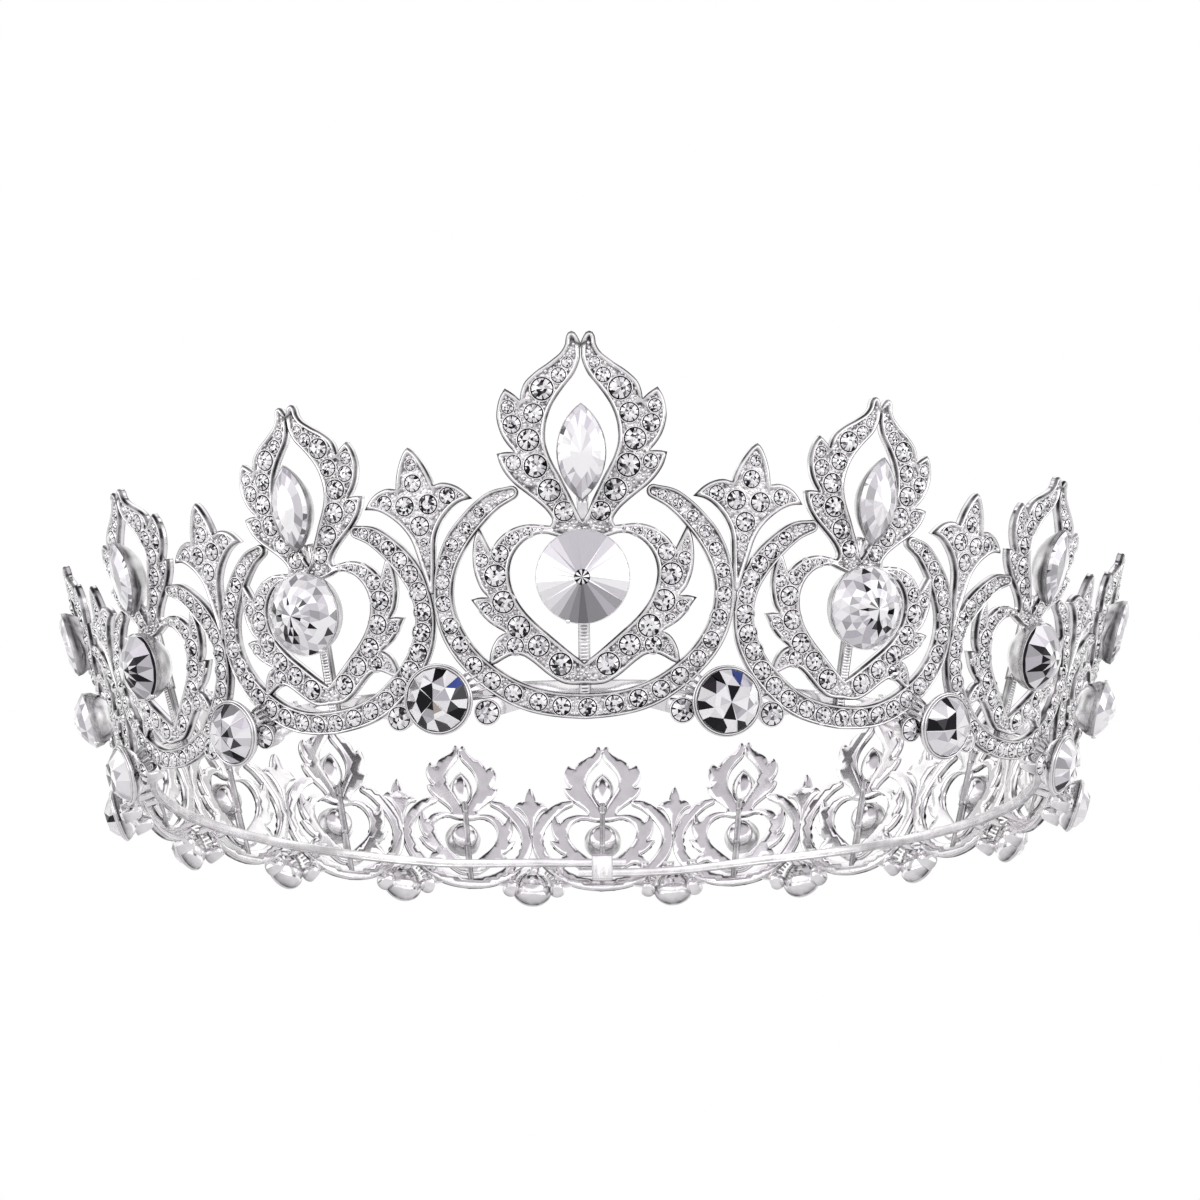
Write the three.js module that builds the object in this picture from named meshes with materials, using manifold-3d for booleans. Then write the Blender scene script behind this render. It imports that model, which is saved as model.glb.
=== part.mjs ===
// Bridal tiara: a full-round crown of sixteen openwork castings soldered on a
// flat wire hoop.  Every casting is a pointed two-leaf flame over an open heart
// inside a crescent, with a marquise stone in the flame and a large round
// pointed-front stone in the heart.  A round stone in a cup closes the notch
// under each pair of neighbouring crescents and a three-leaf spray stands on top.
//
// Millimetres, +Z up.  The front of the crown faces -Y.  The origin is in the
// middle of the crown's outer size, level with its lowest points, so the crown
// stands on z = 0; the taller front flares further out, so the hoop's own axis
// lies AXIS_Y behind the origin.

import * as THREE from 'three';
import { mergeVertices } from 'three/addons/utils/BufferGeometryUtils.js';
import Module from 'manifold-3d';

const wasm = await Module();
wasm.setup();

// ---------------------------------------------------------------- dimensions
const CAST_RADIUS = 80.0;        // front face of the castings at the stone line
const FLARE_DEG = 20.0;          // outward lean of the castings
const CAST_THICK = 2.0;          // thickness of a casting
const FLAT_RADIUS = 86.0;        // radius at which castings are laid out flat
const GAP = 0.16;                // half of the gap between two neighbouring castings

const STONE_LINE = 4.494;        // height of the junction stones' centres over the base
const AXIS_Y = 1.571;            // the hoop's axis, behind the origin
const JUNCTION_RADIUS = 83.0;    // from the axis to the rim of a junction stone
const JUNCTION_CUP_R = 4.7;      // cup of a 9 mm stone
const STONE_SIDES = 10;          // facets round a round stone
const SMALL_CUP_R = 1.5;         // little cups beside the junction stones

const HOOP_IN = 75.8, HOOP_OUT = 76.8, HOOP_LOW = 2.7, HOOP_HIGH = 4.5; // above the stone line
const HOOP_LAP_DEG = 4.0;        // how far each end runs past the back centre
const HOOP_LAP_RISE = 1.12;      // how far each end is set up or down at the lap

// one entry per casting from the front centre (0) to the back centre (8):
// azimuth of its outer border, height scale and diameter of its round stone
const BORDER_DEG = [13.6, 37.2, 60.5, 84.3, 107.3, 127.6, 148.1, 168.9];
// junction stones, left and right: azimuth, and height above the stone line along the face
const JUNCTION_DEG = {
  left: [13.3, 36.5, 60.4, 84.3, 107.3, 127.6, 148.1, 168.9],
  right: [12.95, 36.8, 60.4, 84.3, 107.3, 127.6, 148.1, 168.9],
};
const JUNCTION_LIFT = { left: [0.8, 0, 0, 0, 0, 0, 0, 0], right: [0.15, 0, 0, 0, 0, 0, 0, 0] };
const HEIGHT = [1.0, 0.89, 0.84, 0.835, 0.81, 0.785, 0.76, 0.73, 0.75];
const ROUND_STONE_D = [12.0, 11.0, 10.0, 9.2, 8.8, 8.4, 8.2, 8.0, 8.4];
const SPRAY_TIP = [34.6, 34.0, 31.4, 29.6, 28.0, 26.6, 25.2, 25.0];
const SPRAY_SCALE = [1.0, 0.95, 0.88, 0.84, 0.80, 0.76, 0.73, 0.73];
const SPRAY_WIDTH = [1.0, 0.93, 0.84, 0.78, 0.70, 0.60, 0.56, 0.52];

// ------------------------------------------------- outlines, right half, full size
// u is to the side of the motif's own centre line, v is up along the flared face
const FLAME_HEART = [
  [0.0, 47.42], [0.72, 48.36], [1.6, 48.22], [3.52, 45.33], [7.26, 42.39], [7.92, 40.14], [9.86, 41.72],
  [10.53, 40.6], [10.76, 36.71], [8.75, 33.37], [11.03, 33.28], [10.55, 31.66], [3.9, 24.3], [4.4, 23.55],
  [6.64, 23.88], [9.22, 23.37], [12.0, 21.2], [13.9, 24.0], [14.26, 18.22], [12.39, 14.56], [14.7, 14.41],
  [13.22, 12.22], [10.12, 9.8], [12.9, 6.5], [12.3, 5.5], [8.9, 6.83], [2.68, 2.88], [0.0, 2.72],
];
const FLAME_HOLE = [
  [0.0, 44.6], [3.79, 39.16], [4.66, 36.07], [3.56, 31.44], [0.0, 24.3],
];
const HEART_HOLE = [
  [0.0, 22.7], [5.6, 22.65], [7.74, 21.53], [9.54, 18.04], [9.38, 16.04], [7.58, 12.47], [0.0, 5.6],
];
const CRESCENT_OUT = [
  [9.49, 28.72], [11.9, 28.26], [13.99, 26.93], [17.46, 23.36], [19.43, 18.82], [19.71, 13.84], [19.26, 11.39],
  [18.37, 9.06], [15.53, 4.97], [9.67, 0.35], [4.96, -1.28], [0.0, -1.82],
];
const CRESCENT_IN = [
  [8.94, 27.47], [12.89, 24.56], [15.79, 20.55], [17.18, 15.84], [16.99, 13.38], [16.19, 11.04], [14.97, 8.89],
  [11.53, 5.35], [9.5, 3.93], [4.92, 2.09], [0.0, 1.58],
];
// three-leaf spray, right half, measured down from its tip
const SPRAY_HEAD = [
  [0.0, 0.0], [1.05, -1.2], [2.45, -4.95], [5.4, -5.4], [7.4, -6.9], [3.8, -8.55], [2.6, -9.9],
  [1.9, -11.6],
];
const SPRAY_FOOT_V = 20.6;       // on the full-size motif, where the spray's foot ends
const SMALL_CUP_AT = [12.3, -0.35];
const LUG_U = 11.9, LUG_V = 3.1;  // solder lugs that reach back to the hoop
const ROUND_STONE_V = 16.9;      // centre of the round stone
const MARQUISE_V = 33.0;         // centre of the marquise stone
const MARQUISE_L = 12.6, MARQUISE_W = 6.4;

// ---------------------------------------------------------------- helpers
const RAD = Math.PI / 180;
const SIN = Math.sin(FLARE_DEG * RAD), COS = Math.cos(FLARE_DEG * RAD);
const faceRadius = (v) => CAST_RADIUS + v * SIN;

const mirror = (half) => [
  ...half, ...half.slice().reverse().filter((p) => p[0] > 1e-9).map(([u, v]) => [-u, v]),
];

// a point of a motif (u, v), in the flat layout
const toFlat = (azimuthDeg, su, sv) => ([u, v]) => {
  const vv = v * sv;
  return [FLAT_RADIUS * (azimuthDeg * RAD + (u * su) / faceRadius(vv)), vv];
};

function slab(points, from, to, holes = []) {
  const outer = points.map(([x, y]) => new THREE.Vector2(x, y));
  if (THREE.ShapeUtils.isClockWise(outer)) outer.reverse();
  const shape = new THREE.Shape(outer);
  for (const h of holes) shape.holes.push(new THREE.Path(h.map(([x, y]) => new THREE.Vector2(x, y))));
  const g = new THREE.ExtrudeGeometry(shape, { depth: to - from, bevelEnabled: false, steps: 1 });
  g.translate(0, 0, from);
  return g;
}

function solid(geometry) {
  const g = geometry.clone();
  for (const name of Object.keys(g.attributes)) if (name !== 'position') g.deleteAttribute(name);
  const m = mergeVertices(g, 1e-5);
  return new wasm.Manifold(new wasm.Mesh({
    numProp: 3,
    vertProperties: new Float32Array(m.attributes.position.array),
    triVerts: new Uint32Array(m.index.array),
  }));
}

function geometryOf(manifold) {
  const mesh = manifold.getMesh();
  const g = new THREE.BufferGeometry();
  const p = new Float32Array(mesh.numVert * 3);
  for (let i = 0; i < mesh.numVert; i++)
    for (let k = 0; k < 3; k++) p[3 * i + k] = mesh.vertProperties[mesh.numProp * i + k];
  g.setAttribute('position', new THREE.BufferAttribute(p, 3));
  g.setIndex(new THREE.BufferAttribute(new Uint32Array(mesh.triVerts), 1));
  return g;
}

const joined = (geometries) => {
  let all = solid(geometries[0]);
  for (const g of geometries.slice(1)) all = all.add(solid(g));
  return geometryOf(all);
};

// rolls the flat layout onto the cone: x along the ring, y up the face, and z out
// of it with the casting's front face at z = CAST_THICK
function roll(geometry) {
  const p = geometry.attributes.position;
  for (let i = 0; i < p.count; i++) {
    const a = p.getX(i) / FLAT_RADIUS, v = p.getY(i), w = p.getZ(i) - CAST_THICK;
    const rho = CAST_RADIUS + v * SIN + w * COS;
    p.setXYZ(i, rho * Math.sin(a), -rho * Math.cos(a), v * COS - w * SIN + STONE_LINE);
  }
  geometry.computeVertexNormals();
  return geometry;
}

const circle = (r, n, cx = 0, cy = 0, turn = 0) =>
  Array.from({ length: n }, (_, i) => {
    const t = (i / n) * 2 * Math.PI + turn;
    return [cx + r * Math.cos(t), cy + r * Math.sin(t)];
  });

// stands a piece whose own z is outward and own y is upward on the flared face
function stand(mesh, azimuthDeg, v, w) {
  const a = azimuthDeg * RAD, rho = CAST_RADIUS + v * SIN + w * COS;
  mesh.position.set(rho * Math.sin(a), -rho * Math.cos(a), v * COS - w * SIN + STONE_LINE);
  const side = new THREE.Vector3(Math.cos(a), Math.sin(a), 0);
  const up = new THREE.Vector3(SIN * Math.sin(a), -SIN * Math.cos(a), COS);
  const out = new THREE.Vector3().crossVectors(side, up);
  mesh.quaternion.setFromRotationMatrix(new THREE.Matrix4().makeBasis(side, up, out));
  return mesh;
}

// ---------------------------------------------------------------- materials
const silver = () => new THREE.MeshStandardMaterial({ color: 0xdadbde, roughness: 0.16, metalness: 1.0 });
const crystal = () => new THREE.MeshStandardMaterial({ color: 0xe9eef5, roughness: 0.03, metalness: 0.35 });

const crown = new THREE.Group();
crown.position.set(0, AXIS_Y, 0);
const piece = (name, geometry, material) => {
  const mesh = new THREE.Mesh(geometry, material);
  mesh.name = name;
  crown.add(mesh);
  return mesh;
};

// ---------------------------------------------------------------- layout of the ring
// motif k runs from -7 (right of the wearer's front, going round) over 0 (front) to 8 (back)
const centreDeg = (k) => {
  const i = Math.abs(k);
  if (i === 0) return 0;
  if (i === 8) return 180;
  return Math.sign(k) * (BORDER_DEG[i - 1] + BORDER_DEG[i]) / 2;
};
const halfDeg = (k) => {
  const i = Math.abs(k);
  if (i === 0) return BORDER_DEG[0];
  if (i === 8) return 180 - BORDER_DEG[7];
  return (BORDER_DEG[i] - BORDER_DEG[i - 1]) / 2;
};
// a crescent reaches the border of its share of the ring, less half a gap
const widthScale = (k) => {
  const sv = HEIGHT[Math.abs(k)];
  const reach = Math.max(...CRESCENT_OUT.map(([u, v]) => u / faceRadius(v * sv)));
  return (halfDeg(k) * RAD - GAP / 84.5) / reach;
};

// ---------------------------------------------------------------- castings
function motif(k, centre) {
  const i = Math.abs(k), su = widthScale(k), sv = HEIGHT[i];
  const flat = toFlat(centre, su, sv);
  const T = CAST_THICK;
  const crescent = [...CRESCENT_OUT, ...CRESCENT_OUT.slice(0, -1).reverse().map(([u, v]) => [-u, v]),
    ...CRESCENT_IN.map(([u, v]) => [-u, v]), ...CRESCENT_IN.slice(0, -1).reverse()];
  const parts = [
    slab(mirror(FLAME_HEART).map(flat), 0, T, [mirror(FLAME_HOLE).map(flat), mirror(HEART_HOLE).map(flat)]),
    slab(crescent.map(flat), 0, T),
    // beaded stem behind the stones, from the foot of the crescent to the middle of the flame
    slab([[-0.75, 34.0], [-0.75, 0.6], [0.75, 0.6], [0.75, 34.0]].map(flat), 0.15, T - 0.2),
  ];
  for (const side of [-1, 1]) {
    const [cu, cv] = [side * SMALL_CUP_AT[0] * su, SMALL_CUP_AT[1] * sv];
    const at = toFlat(centre, 1, 1);
    parts.push(slab(circle(SMALL_CUP_R, 6, cu, cv, Math.PI / 6).map(at), 0.3, T + 1.6));
    // web that ties the little cup to the foot of the crescent
    const web = side > 0
      ? [[8.2, -0.1], [12.2, -1.2], [12.9, 2.6], [10.5, 1.6]]
      : [[-10.5, 1.6], [-12.9, 2.6], [-12.2, -1.2], [-8.2, -0.1]];
    parts.push(slab(web.map(flat), 0.25, T - 0.35));
  }
  return parts;
}

// spray over border b (1..8, sign = side), owned by the casting at ownerDeg side
function spray(b, sign, centre, toNeighbours) {
  const i = b - 1, k = SPRAY_SCALE[i], wide = SPRAY_WIDTH[i], tip = SPRAY_TIP[i];
  const svLow = (HEIGHT[i] + HEIGHT[i + 1 > 8 ? 8 : i + 1]) / 2;
  const foot = SPRAY_FOOT_V * svLow;
  const half = SPRAY_HEAD.map(([u, v]) => [u * wide, tip + v * k]);
  const neckV = Math.max(foot + 1.6, 22.6 * svLow);
  const rows = half.filter((p) => p[1] > neckV + 0.3);
  rows.push([1.35 * wide, neckV], [0.6, foot], [0.0, foot]);
  const lean = b === 1 ? 0.5 * sign : 0;
  const flat = ([u, v]) => toFlat(centre + lean * Math.min(1, Math.max(0, (v - foot) / (tip - foot))), 1, 1)([u, v]);
  const parts = [slab(mirror(rows).map(flat), 0, CAST_THICK)];
  // solder bridges from the foot to the crescents beside it
  for (const dir of toNeighbours) {
    const a = dir > 0 ? [0.1, 3.0] : [-3.0, -0.1];
    parts.push(slab([[a[0], foot + 0.15], [a[1], foot + 0.15 - 1.4], [a[1], foot + 1.0], [a[0], foot + 1.35]]
      .sort(() => 0).map(flat), 0.3, CAST_THICK - 0.4));
  }
  return parts;
}

// solder bridge between two crescents of one casting
function bridge(b, centre) {
  const sv = (HEIGHT[b - 1] + HEIGHT[Math.min(b, 8)]) / 2;
  const flat = toFlat(centre, 1, 1);
  return slab([[-1.1, 11.5 * sv], [1.1, 11.5 * sv], [1.1, 18.5 * sv], [-1.1, 18.5 * sv]].map(flat), 0.3, CAST_THICK - 0.35);
}

// lugs from the back of a crescent's foot to the hoop, one on each side
function lugs(k, centre) {
  const su = widthScale(k), at = toFlat(centre, 1, 1);
  const depth = (faceRadius(LUG_V) - HOOP_OUT - 0.35) / COS;
  return [-1, 1].map((side) => {
    const c = side * LUG_U * su;
    return slab([[c - 1.1, LUG_V - 0.45], [c + 1.1, LUG_V - 0.45], [c + 1.1, LUG_V + 0.45], [c - 1.1, LUG_V + 0.45]].map(at),
      CAST_THICK - depth, 0.6);
  });
}

function casting(name, motifs, borders) {
  const parts = [];
  for (const k of motifs) parts.push(...motif(k, centreDeg(k)), ...lugs(k, centreDeg(k)));
  for (const { b, sign, inside, towards } of borders) {
    const deg = sign * BORDER_DEG[b - 1];
    if (inside) parts.push(bridge(b, deg));
    parts.push(...spray(b, sign, deg, towards));
  }
  piece(name, roll(joined(parts)), silver());
}

casting('casting_front', [-1, 0, 1], [
  { b: 1, sign: 1, inside: true, towards: [-1, 1] }, { b: 1, sign: -1, inside: true, towards: [-1, 1] },
  { b: 2, sign: 1, towards: [-1] }, { b: 2, sign: -1, towards: [1] },
]);
for (const [side, sign] of [['left', -1], ['right', 1]]) {
  casting(`casting_${side}_front`, [2 * sign, 3 * sign], [
    { b: 3, sign, inside: true, towards: [-1, 1] }, { b: 4, sign, towards: [-sign] }]);
  casting(`casting_${side}_side`, [4 * sign, 5 * sign], [
    { b: 5, sign, inside: true, towards: [-1, 1] }, { b: 6, sign, towards: [-sign] }]);
  casting(`casting_${side}_back`, [6 * sign, 7 * sign], [
    { b: 7, sign, inside: true, towards: [-1, 1] }, { b: 8, sign, towards: [-sign] }]);
}
casting('casting_back', [8], []);

// ---------------------------------------------------------------- stones in their cups
const label = (k) => (k === 0 ? 'front' : k === 8 ? 'back' : `${k < 0 ? 'left' : 'right'}_${Math.abs(k)}`);

for (let k = -7; k <= 8; k++) {
  const i = Math.abs(k), r = ROUND_STONE_D[i] / 2, sv = HEIGHT[i];
  // round stone with a pointed front, in a flared cup with a flat back
  const profile = [[0, 0], [r * 0.8, 0], [r + 0.28, r * 0.36], [r + 0.2, r * 0.52], [0, r * 1.08]]
    .map(([x, y]) => new THREE.Vector2(x, y));
  const lathe = new THREE.LatheGeometry(profile, STONE_SIDES).rotateX(Math.PI / 2);
  stand(piece(`round_stone_${label(k)}`, closed(lathe), crystal()), centreDeg(k), ROUND_STONE_V * sv, 0.35);

  // marquise stone in its cup
  const L = MARQUISE_L * Math.min(1, sv + 0.06) / 2, W = MARQUISE_W * (0.35 + 0.65 * widthScale(k)) / 2;
  const bevel = W * 0.45;
  const lens = [];
  for (let n = 0; n < 8; n++) {
    const t = (n / 8) * 2 * Math.PI;
    const c = Math.sin(t);
    lens.push([(W - bevel) * Math.sign(Math.cos(t)) * Math.pow(Math.abs(Math.cos(t)), 1.15), (L - bevel * 1.4) * c]);
  }
  const g = new THREE.ExtrudeGeometry(new THREE.Shape(lens.map(([x, y]) => new THREE.Vector2(x, y))), {
    depth: 1.5, bevelEnabled: true, bevelThickness: 1.1, bevelSize: bevel, bevelSegments: 1, steps: 1,
  });
  g.translate(0, 0, 1.1);
  stand(piece(`marquise_stone_${label(k)}`, closed(g), crystal()), centreDeg(k), MARQUISE_V * sv, 0.35);
}

for (const sign of [-1, 1]) {
  const hand = sign < 0 ? 'left' : 'right';
  JUNCTION_DEG[hand].forEach((deg, i) => {
    const profile = [[0, -2.6], [2.6, -2.6], [3.85, -1.2], [JUNCTION_CUP_R, 0], [JUNCTION_CUP_R - 0.1, 0.5], [2.7, 1.95], [0, 1.95]]
      .map(([x, y]) => new THREE.Vector2(x, y));
    const lathe = new THREE.LatheGeometry(profile, STONE_SIDES).rotateX(Math.PI / 2);
    // the rim's centre is on the stone line at the junction radius
    const w = (JUNCTION_RADIUS - CAST_RADIUS) * COS, v = (JUNCTION_RADIUS - CAST_RADIUS) * SIN;
    stand(piece(`junction_stone_${hand}_${i + 1}`, closed(lathe), crystal()), sign * deg, v + JUNCTION_LIFT[hand][i], w);
  });
}

function closed(geometry) {
  return (() => {
    const g = geometryOf(solid(geometry));
    g.computeVertexNormals();
    return g;
  })();
}

// ---------------------------------------------------------------- hoop
// flat wire bent to a ring; the two ends lap one above the other at the back centre
{
  const span = 360 + 2 * HOOP_LAP_DEG, mid = (HOOP_IN + HOOP_OUT) / 2;
  const g = new THREE.BoxGeometry(span, HOOP_OUT - HOOP_IN, HOOP_HIGH - HOOP_LOW, 72, 1, 1);
  const p = g.attributes.position;
  for (let i = 0; i < p.count; i++) {
    const deg = p.getX(i), rho = mid - p.getY(i);
    const near = THREE.MathUtils.smoothstep(Math.abs(deg), 150, 172);
    const rise = -Math.sign(deg) * HOOP_LAP_RISE * near;
    p.setXYZ(i, rho * Math.sin(deg * RAD), -rho * Math.cos(deg * RAD),
      p.getZ(i) + (HOOP_LOW + HOOP_HIGH) / 2 + rise + STONE_LINE);
  }
  piece('hoop_band', closed(g), silver());

  // collar pressed round both ends of the hoop
  const h = HOOP_HIGH - HOOP_LOW + 2 * HOOP_LAP_RISE, t = HOOP_OUT - HOOP_IN, c = 0.32, wall = 0.5;
  const rect = (x, y) => [[-x, -y], [x, -y], [x, y], [-x, y]];
  const ring = slab(rect(t / 2 + c + wall, h / 2 + c + wall), -2.4, 2.4, [rect(t / 2 + c, h / 2 + c)]);
  const collar = piece('hoop_collar', closed(ring), silver());
  // its own x is radial, y is up and z runs along the wire
  const side = new THREE.Vector3(0, 1, 0), up = new THREE.Vector3(0, 0, 1);
  collar.quaternion.setFromRotationMatrix(new THREE.Matrix4().makeBasis(side, up, new THREE.Vector3().crossVectors(side, up)));
  collar.position.set(0, mid, (HOOP_LOW + HOOP_HIGH) / 2 + STONE_LINE);
}

export default crown;
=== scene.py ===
# Bridal crown: the visual model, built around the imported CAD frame.
# Lengths are in millimetres until the meshes are written, which are in metres.
import math
import random

import bpy
import numpy as np
from mathutils import Matrix, Vector
from mathutils.geometry import delaunay_2d_cdt


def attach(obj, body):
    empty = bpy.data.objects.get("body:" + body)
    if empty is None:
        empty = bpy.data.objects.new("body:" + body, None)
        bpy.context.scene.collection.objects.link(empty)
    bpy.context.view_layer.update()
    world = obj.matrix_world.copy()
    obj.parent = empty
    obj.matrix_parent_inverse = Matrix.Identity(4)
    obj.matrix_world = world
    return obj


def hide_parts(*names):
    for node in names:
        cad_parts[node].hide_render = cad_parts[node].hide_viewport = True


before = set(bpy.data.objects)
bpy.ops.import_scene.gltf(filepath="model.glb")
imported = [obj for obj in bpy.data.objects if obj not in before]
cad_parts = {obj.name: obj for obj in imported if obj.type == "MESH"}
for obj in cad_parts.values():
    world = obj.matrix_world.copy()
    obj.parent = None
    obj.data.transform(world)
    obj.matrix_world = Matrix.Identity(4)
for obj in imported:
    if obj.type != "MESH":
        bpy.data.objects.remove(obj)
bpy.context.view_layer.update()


# ------------------------------------------------------------------ the ring's layout (as in the CAD)
R0, FLARE, THICK = 80.0, math.radians(20.0), 2.0
SIN, COS = math.sin(FLARE), math.cos(FLARE)
STONE_LINE, AXIS_Y = 4.494, 1.571
JUNCTION_R = 83.0
HOOP_IN, HOOP_OUT, HOOP_LOW, HOOP_HIGH = 75.8, 76.8, 2.7, 4.5
HOOP_LAP, HOOP_RISE = 4.0, 1.12
BORDER = [13.6, 37.2, 60.5, 84.3, 107.3, 127.6, 148.1, 168.9]
JUNCTION = {
    -1: [13.3, 36.5, 60.4, 84.3, 107.3, 127.6, 148.1, 168.9],
    1: [12.95, 36.8, 60.4, 84.3, 107.3, 127.6, 148.1, 168.9],
}
LIFT = {(-1, 0): 0.8, (1, 0): 0.15}
HEIGHT = [1.0, 0.89, 0.84, 0.835, 0.81, 0.785, 0.76, 0.73, 0.75]
ROUND_D = [12.0, 11.0, 10.0, 9.2, 8.8, 8.4, 8.2, 8.0, 8.4]
SPRAY_TIP = [35.15, 34.0, 31.4, 29.6, 28.0, 26.6, 25.2, 25.0]
SPRAY_SCALE = [1.0, 0.95, 0.88, 0.84, 0.80, 0.76, 0.73, 0.73]
SPRAY_WIDTH = [1.0, 0.93, 0.84, 0.78, 0.70, 0.60, 0.56, 0.52]
GAP = 0.02

rng = random.Random(11)


def centre_deg(k):
    i = abs(k)
    if i == 0:
        return 0.0
    if i == 8:
        return 180.0
    return math.copysign((BORDER[i - 1] + BORDER[i]) / 2, k)


def half_deg(k):
    i = abs(k)
    if i == 0:
        return BORDER[0]
    if i == 8:
        return 180 - BORDER[7]
    return (BORDER[i] - BORDER[i - 1]) / 2


# ------------------------------------------------------------------ outlines of the full-size motif, right half
SEG = dict(
    fA=[[0.0, 47.3], [0.3, 48.0], [0.7, 48.65], [1.2, 48.85], [1.68, 48.55], [1.9, 47.9], [2.0, 47.1], [2.6, 46.09], [3.52, 45.33], [4.48, 44.62], [5.49, 43.98], [6.43, 43.24], [7.26, 42.39], [7.73, 41.32], [7.92, 40.14]],
    fB=[[7.92, 40.14], [8.5, 40.75], [9.2, 41.3], [9.86, 41.72]],
    fC=[[9.86, 41.72], [10.53, 40.6], [10.88, 39.33], [10.99, 38.01], [10.76, 36.71], [10.3, 35.47], [9.6, 34.35], [8.75, 33.37]],
    fD=[[8.75, 33.37], [9.89, 33.45], [11.03, 33.28]],
    fE=[[11.03, 33.28], [10.55, 31.66], [9.67, 30.2], [8.53, 28.95], [7.22, 27.87], [5.9, 26.77], [4.68, 25.58], [3.9, 24.3], [4.2, 23.6]],
    hA=[[4.2, 23.6], [5.32, 23.74], [6.64, 23.88], [7.97, 23.78], [9.22, 23.37], [10.35, 22.69], [11.3, 21.76], [11.93, 20.62]],
    hB=[[11.93, 20.62], [12.42, 21.6], [12.95, 22.7], [13.55, 23.9]],
    hC=[[13.55, 23.9], [14.15, 22.42], [14.36, 21.03], [14.4, 19.62], [14.26, 18.22], [13.88, 16.87], [13.31, 15.6], [12.39, 14.56]],
    hD=[[12.39, 14.56], [13.55, 14.65], [14.7, 14.41]],
    hE=[[14.7, 14.41], [13.94, 13.33], [13.22, 12.22], [12.31, 11.25], [11.25, 10.5], [10.12, 9.8]],
    hF=[[10.12, 9.8], [10.75, 9.6], [11.35, 9.1], [11.85, 8.3], [12.2, 7.35], [12.35, 6.5], [12.4, 5.75]],
    hG=[[12.4, 5.75], [11.8, 5.7], [11.1, 6.0], [10.4, 6.4], [9.3, 6.83], [8.02, 6.69], [6.92, 5.99], [5.91, 5.14], [4.92, 4.27], [3.85, 3.49], [2.68, 2.88], [1.39, 2.69], [0.0, 2.75]],
)
OUTER_ORDER = ["fA", "fB", "fC", "fD", "fE", "hA", "hB", "hC", "hD", "hE", "hF", "hG"]
FLAME_HOLE = [[0.0, 46.95], [0.06, 46.7], [0.07, 46.0], [0.09, 45.3], [0.38, 44.3], [0.97, 43.1], [1.99, 41.84], [2.96, 40.54], [3.79, 39.16], [4.37, 37.65], [4.66, 36.07], [4.65, 34.46], [4.23, 32.91], [3.56, 31.44], [2.78, 30.02], [2.08, 28.57], [1.37, 27.12], [0.77, 25.62], [0.0, 24.1]]
HEART_HOLE = [[0.0, 21.7], [1.8, 21.75], [3.3, 22.1], [4.6, 22.5], [6.02, 22.45], [7.74, 21.53], [8.99, 19.96], [9.54, 18.04], [9.38, 16.04], [8.68, 14.16], [7.58, 12.47], [6.22, 10.98], [4.73, 9.62], [3.23, 8.28], [1.71, 6.96], [0.0, 5.6]]
ARCH_OUT = [[9.49, 28.72], [11.9, 28.26], [13.99, 26.93], [15.82, 25.23], [17.46, 23.36], [18.67, 21.19], [19.43, 18.82], [19.73, 16.34], [19.71, 13.84], [19.26, 11.39], [18.37, 9.06], [17.1, 6.91], [15.53, 4.97], [13.74, 3.23], [11.78, 1.69], [9.67, 0.35], [7.38, -0.65], [4.96, -1.28], [2.49, -1.63], [0.0, -1.82]]
ARCH_IN = [[8.94, 27.47], [11.07, 26.24], [12.89, 24.56], [14.47, 22.65], [15.79, 20.55], [16.75, 18.27], [17.18, 15.84], [16.99, 13.38], [16.19, 11.04], [14.97, 8.89], [13.39, 6.99], [11.53, 5.35], [9.5, 3.93], [7.28, 2.84], [4.92, 2.09], [2.47, 1.69], [0.0, 1.58]]
FLAME_STONES = [(1.75, 44.75, 1.45), (2.85, 43.1, 2.0), (5.0, 41.4, 3.05), (6.15, 38.25, 2.6), (6.85, 34.85, 2.95), (8.95, 36.95, 2.4), (9.45, 39.25, 1.75), (5.95, 31.4, 3.1), (8.8, 31.95, 2.0), (4.2, 28.2, 3.0), (2.35, 25.4, 2.6)]
HEART_STONES = [(5.3, 23.15, 0.8), (7.05, 22.95, 1.4), (9.1, 22.15, 1.9), (10.75, 20.2, 2.3), (11.35, 17.35, 2.95), (13.15, 19.45, 1.8), (13.3, 21.6, 0.95), (10.35, 13.85, 2.95), (12.75, 13.15, 1.7), (11.1, 11.45, 1.35), (8.4, 10.5, 3.0), (5.85, 7.95, 2.85), (8.9, 8.05, 2.25), (11.0, 7.6, 1.1), (3.05, 5.45, 3.05)]
ROUND_V, MARQ_V = 16.9, 33.0


def resample(P, step):
    P = np.asarray(P, float)
    L = np.concatenate([[0], np.cumsum(np.hypot(*np.diff(P, axis=0).T))])
    n = max(2, int(round(L[-1] / step)) + 1)
    t = np.linspace(0, L[-1], n)
    return np.stack([np.interp(t, L, P[:, 0]), np.interp(t, L, P[:, 1])], -1)


def spline(P, step, closed=False):
    """A Catmull-Rom curve through P, in even steps."""
    P = np.asarray(P, float)
    if closed:
        A = np.vstack([P[-1:], P, P[:2]])
    else:
        A = np.vstack([2 * P[0] - P[1], P, 2 * P[-1] - P[-2]])
    out = []
    for i in range(1, len(A) - 2):
        p0, p1, p2, p3 = A[i - 1], A[i], A[i + 1], A[i + 2]
        for t in np.linspace(0, 1, 8, endpoint=False):
            out.append(0.5 * ((2 * p1) + (-p0 + p2) * t + (2 * p0 - 5 * p1 + 4 * p2 - p3) * t * t + (-p0 + 3 * p1 - 3 * p2 + p3) * t**3))
    out.append(A[-2])
    return resample(out, step)


def mirrored(half):
    """Closed outline from a right half that starts and ends on the centre line."""
    left = half[1:-1][::-1].copy()
    left[:, 0] *= -1
    return np.vstack([half, left])


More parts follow.
